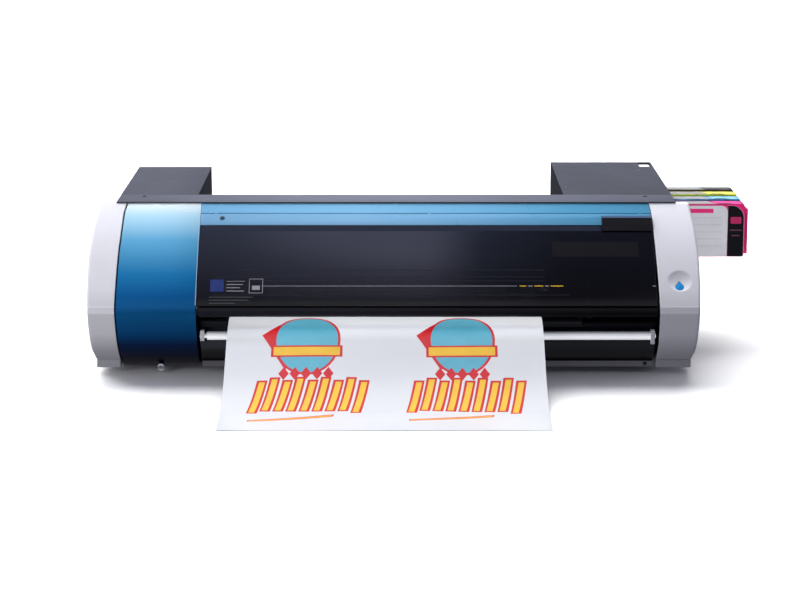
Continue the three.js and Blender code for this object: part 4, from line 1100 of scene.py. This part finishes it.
# The sheet's guide bar ends in two small white brackets.
BRACKET = moulded("bracket_plastic", (0.75, 0.76, 0.8), 0.4)
for name, x0, x1, z0 in (("bar_bracket_left", -320.2, -313.4, 83.5), ("bar_bracket_right", 425.5, 432, 78)):
    outline = rounded(-141.5, -127, z0, 101.5, (2.5, 2.5, 2.5, 2.5), 5)
    make(name, *prism(outline, x0, x1, 0), BRACKET, slot="cap_plastic", rounding=0.5)
screw("blue_strip_screw", (-289, *offset(upper(0.163), 0.1)), (0, -0.62, 0.78), 4.4,
      printed("strip_screw_finish", (0.03, 0.07, 0.11), 0.35), "front_cover", "blue_panel", height=0.8)
for k, (x, y) in enumerate(((-440, 330), (-372, 330), (446, 330), (300, 385), (446, 385), (300, 150))):
    screw(f"housing_screw_{k}", (x, y, ROOF_TOP), (0, 0, 1), 3.2, MAT["steel"], height=0.9)

# Plain marks where the window's notices are: a patch, short lines and an empty frame.
over_arc("window_patch", -303, -281, 0.757, 0.864, -0.3, 0.1, printed("patch_print", (0.012, 0.03, 0.16), 0.3), steps=5)
for k, t in enumerate((0.772, 0.801, 0.83, 0.859)):
    window_line(f"window_note_{k}", -276, (-246, -249, -254, -247)[k], t, 1.3, PALE)
for k, t in enumerate((0.912, 0.938, 0.965)):
    window_line(f"window_small_note_{k}", -304, (-232, -240, -262)[k], t, 0.8, MAUVE_LINE)
for k, (x0, x1, t, width) in enumerate(((-239, -216, 0.752, 1), (-239, -216, 0.876, 1), (-239, -238, 0.814, 27),
                                        (-217, -216, 0.814, 27), (-234, -221, 0.83, 8))):
    window_line(f"window_frame_{k}", x0, x1, t, width, PALE)
window_line("window_tick", 428, 433, 0.8145, 1.6, PALE)
screw("rail_screw", (421, -96.1, 35), (0, -1, 0), 3.4, MAT["dark_plastic"], slot="dark_plastic")

# A dark rubber strip on the outlet's lip fills the gap behind the cover's lower edge, as painted shade for that gap.
make("lip_seal", *prism([(-148.2, 142.6), (-146.2, 142.6), (-146.2, 147.8), (-148.2, 147.8)], -320.5, 433.5, 0),
     MAT["rubber"], slot="rubber", rounding=0.5)

# The corner of the right housing carries a blank white tag in its notch.
tag = rounded(452.6, 473.8, 372.8, 422.8, (2, 2, 2, 2), 5)
make("corner_tag", *prism(tag, 285, 289, 2), BRACKET, slot="cap_plastic", rounding=0.4)
stripe = rounded(458, 468, 380, 386, (1, 1, 1, 1), 3)
make("corner_tag_stripe", *prism(stripe, 288.8, 289.1, 2), INKS["label_line"], slot="cap_plastic")

# Behind: fixing screws, a blank rating plate, and pressed louvres on the two sides.
LEFT_SIDE, LEFT_BACK = span("rear_left_cover", 0)[0], span("rear_left_cover", 1)[1]
RIGHT_SIDE, RIGHT_BACK = span("rear_right_cover", 0)[1], span("rear_right_cover", 1)[1]
for k, (x, y, z) in enumerate(((-459, LEFT_BACK, 48), (-348, LEFT_BACK, 48), (-459, LEFT_BACK, 278), (-348, LEFT_BACK, 278),
                               (303, RIGHT_BACK, 48), (466, RIGHT_BACK, 48), (303, RIGHT_BACK, 270), (466, RIGHT_BACK, 270))):
    screw(f"rear_screw_{k}", (x, y, z), (0, 1, 0), 3.2, MAT["steel"])
for k, (x, y, z, way) in enumerate(((LEFT_SIDE, 24, 48, -1), (LEFT_SIDE, 24, 270, -1), (LEFT_SIDE, 358, 48, -1), (LEFT_SIDE, 358, 270, -1),
                                    (RIGHT_SIDE, 24, 48, 1), (RIGHT_SIDE, 24, 270, 1), (RIGHT_SIDE, 412, 48, 1), (RIGHT_SIDE, 412, 270, 1))):
    screw(f"side_screw_{k}", (x, y, z), (way, 0, 0), 3.2, MAT["steel"])
plate = rounded(345, 425, 70, 116, (3, 3, 3, 3), 5)
make("rating_plate", *prism(plate, RIGHT_BACK - 0.2, RIGHT_BACK + 0.5, 1), MAT["aluminium"], slot="aluminium", rounding=0.15)
for k in range(4):
    line = rounded(352, (412, 398, 418, 380)[k], 104 - 9 * k, 106 - 9 * k, (0.6,) * 4, 3)
    make(f"rating_plate_line_{k}", *prism(line, RIGHT_BACK + 0.4, RIGHT_BACK + 0.58, 1), MAT["black_gloss"], slot="aluminium")


def louvre(name, side, y0, y1, z):
    """A hood pressed out of a side panel, with a black strip under it as painted shade for its opening."""
    x, way = (LEFT_SIDE, -1) if side < 0 else (RIGHT_SIDE, 1)
    hood = [(x - way * 0.3, z + 5), (x + way * 2.4, z - 1.5), (x + way * 2.4, z - 2.3), (x - way * 0.3, z - 2.3)]
    make(name, *prism(hood, y0, y1, 1), MAT["housing_paint"], slot="dark_plastic", rounding=0.35)
    # The black strip is painted shade for the opening under the hood.
    gap = [(x - way * 0.3, z - 2.3), (x + way * 0.15, z - 2.3), (x + way * 0.15, z - 4.4), (x - way * 0.3, z - 4.4)]
    make(f"{name}_gap", *prism(gap, y0 + 1, y1 - 1, 1), MAT["black_gloss"], slot="black_gloss")


for k in range(7):
    louvre(f"left_louvre_{k}", -1, 120, 250, 80 + 12 * k)
    louvre(f"right_louvre_{k}", 1, 320, 395, 80 + 12 * k)

# ------------------------------------------------------------------ camera
camera = bpy.data.objects.new("camera", bpy.data.cameras.new("camera"))
bpy.context.scene.collection.objects.link(camera)
camera.location = at(10.4, -4014.5, 1001)
camera.rotation_euler = (math.radians(90 - 12.341), 0, 0)
camera.data.sensor_width = 36
camera.data.lens = 36 * 2405 / 800
camera.data.clip_end = 100
bpy.context.scene.camera = camera

# ------------------------------------------------------------------ studio
floor_mesh = bpy.data.meshes.new("floor")
floor_mesh.from_pydata([(-30, -30, 0), (30, -30, 0), (30, 30, 0), (-30, 30, 0)], [], [(0, 1, 2, 3)])
floor = bpy.data.objects.new("floor", floor_mesh)
bpy.context.scene.collection.objects.link(floor)
s = Shader("pale_floor")
s.set(color=s.ramp(s.noise(0.7, 2), [(0.3, (0.86, 0.86, 0.86)), (0.7, (0.9, 0.9, 0.9))]), rough=0.9)
floor.data.materials.append(s.material)
floor.visible_glossy = False
floor.visible_diffuse = False

world = bpy.data.worlds.new("studio")
bpy.context.scene.world = world
world.use_nodes = True
nodes, links = world.node_tree.nodes, world.node_tree.links
coords = nodes.new("ShaderNodeTexCoord").outputs["Generated"]
split = nodes.new("ShaderNodeSeparateXYZ")
links.new(coords, split.inputs[0])
reach = nodes.new("ShaderNodeMapRange")
reach.inputs["From Min"].default_value = -1
links.new(split.outputs["Z"], reach.inputs["Value"])
# Brightness by the direction's Z, from straight down at 0 to straight up at 1.
def world_ramp(stops, blue=1.1):
    node = nodes.new("ShaderNodeValToRGB")
    links.new(reach.outputs["Result"], node.inputs["Fac"])
    elements = node.color_ramp.elements
    while len(elements) < len(stops):
        elements.new(0.5)
    for element, (place, value) in zip(elements, stops):
        element.position = place
        element.color = (value * 0.95, value * 0.97, value * blue, 1)
    return node.outputs["Color"]


sky = world_ramp([(0.0, 0.2), (0.25, 0.17), (0.42, 0.08), (0.5, 0.12), (0.6, 0.26), (0.75, 0.42), (0.86, 0.5),
                  (0.925, 0.3), (0.955, 0.1), (1.0, 0.08)])
# A softbox overhead that ends a little to the right of the middle.
box_light = world_ramp([(0.0, 0), (0.94, 0), (0.965, 0.14), (0.985, 0.34), (0.9955, 0.66), (1.0, 0.6)], 1.35)
edge = nodes.new("ShaderNodeMapRange")
for key, value in (("From Min", 0.02), ("From Max", 0.085), ("To Min", 1), ("To Max", 0.12)):
    edge.inputs[key].default_value = value
links.new(split.outputs["X"], edge.inputs["Value"])
part = nodes.new("ShaderNodeVectorMath")
part.operation = "SCALE"
links.new(box_light, part.inputs[0])
links.new(edge.outputs["Result"], part.inputs["Scale"])
whole = nodes.new("ShaderNodeVectorMath")
links.new(sky, whole.inputs[0])
links.new(part.outputs[0], whole.inputs[1])
links.new(whole.outputs[0], nodes["Background"].inputs["Color"])

sun = bpy.data.lights.new("overhead", "SUN")
sun.energy = 7.2
sun.angle = math.radians(64)
overhead = bpy.data.objects.new("overhead", sun)
bpy.context.scene.collection.objects.link(overhead)
overhead.rotation_euler = Vector((0.22, -0.58, -0.78)).to_track_quat("-Z", "Y").to_euler()
overhead.visible_glossy = False

# A softbox low at the front left gives the left end its lift.
soft = bpy.data.lights.new("fill", "AREA")
soft.shape = "DISK"
soft.size = 0.6
soft.energy = 5.2
fill = bpy.data.objects.new("fill", soft)
bpy.context.scene.collection.objects.link(fill)
fill.location = at(-1000, -1150, 330)
fill.rotation_euler = (at(-420, -100, 150) - fill.location).to_track_quat("-Z", "Y").to_euler()
fill.visible_glossy = False

# The sheet and the bar stand under the outlet's lip, and have lights of their own.
def only(light, name, pieces, shadows=True):
    """Limits a light to some pieces, which then lie in no other piece's shadow."""
    group = bpy.data.collections.new(name)
    for piece in pieces:
        group.objects.link(piece)
    light.light_linking.receiver_collection = group
    light.light_linking.blocker_collection = group
    return group


others = bpy.data.collections.new("not_the_sheet")
for piece in (SHEET, floor):
    others.objects.link(piece)
for linked in others.collection_objects:
    linked.light_linking.link_state = "EXCLUDE"
overhead.light_linking.receiver_collection = others

sheet_sun = overhead.copy()
sheet_sun.data = sun.copy()
sheet_sun.data.energy = 4.7
sheet_sun.name = "sheet_light"
bpy.context.scene.collection.objects.link(sheet_sun)
only(sheet_sun, "sheet_only", [SHEET])

# The floor's own softbox stands further back, so the shadow reaches out in front.
floor_sun = overhead.copy()
floor_sun.data = sun.copy()
floor_sun.data.energy = 8.4
floor_sun.data.angle = math.radians(76)
floor_sun.name = "floor_light"
floor_sun.rotation_euler = Vector((0.24, -0.7, -0.67)).to_track_quat("-Z", "Y").to_euler()
bpy.context.scene.collection.objects.link(floor_sun)
floor_only = bpy.data.collections.new("floor_only")
floor_only.objects.link(floor)
floor_sun.light_linking.receiver_collection = floor_only

bar_sun = bpy.data.objects.new("bar_light", bpy.data.lights.new("bar_light", "SUN"))
bar_sun.data.energy = 3.3
bar_sun.data.angle = math.radians(60)
bpy.context.scene.collection.objects.link(bar_sun)
bar_sun.rotation_euler = Vector((0.1, 0.86, 0.5)).to_track_quat("-Z", "Y").to_euler()
bar_sun.visible_glossy = False
FRONTS = ("_label", "_shell", "_tab", "_mark", "_square", "_border")
LIT = [o for o in bpy.data.objects if o.name.startswith("ink_") and (o.name.endswith(FRONTS) or "_band_" in o.name)]
only(bar_sun, "bar_only", [NODES["media_guide_bar"]] + LIT)
bpy.context.scene.view_settings.view_transform = "Standard"
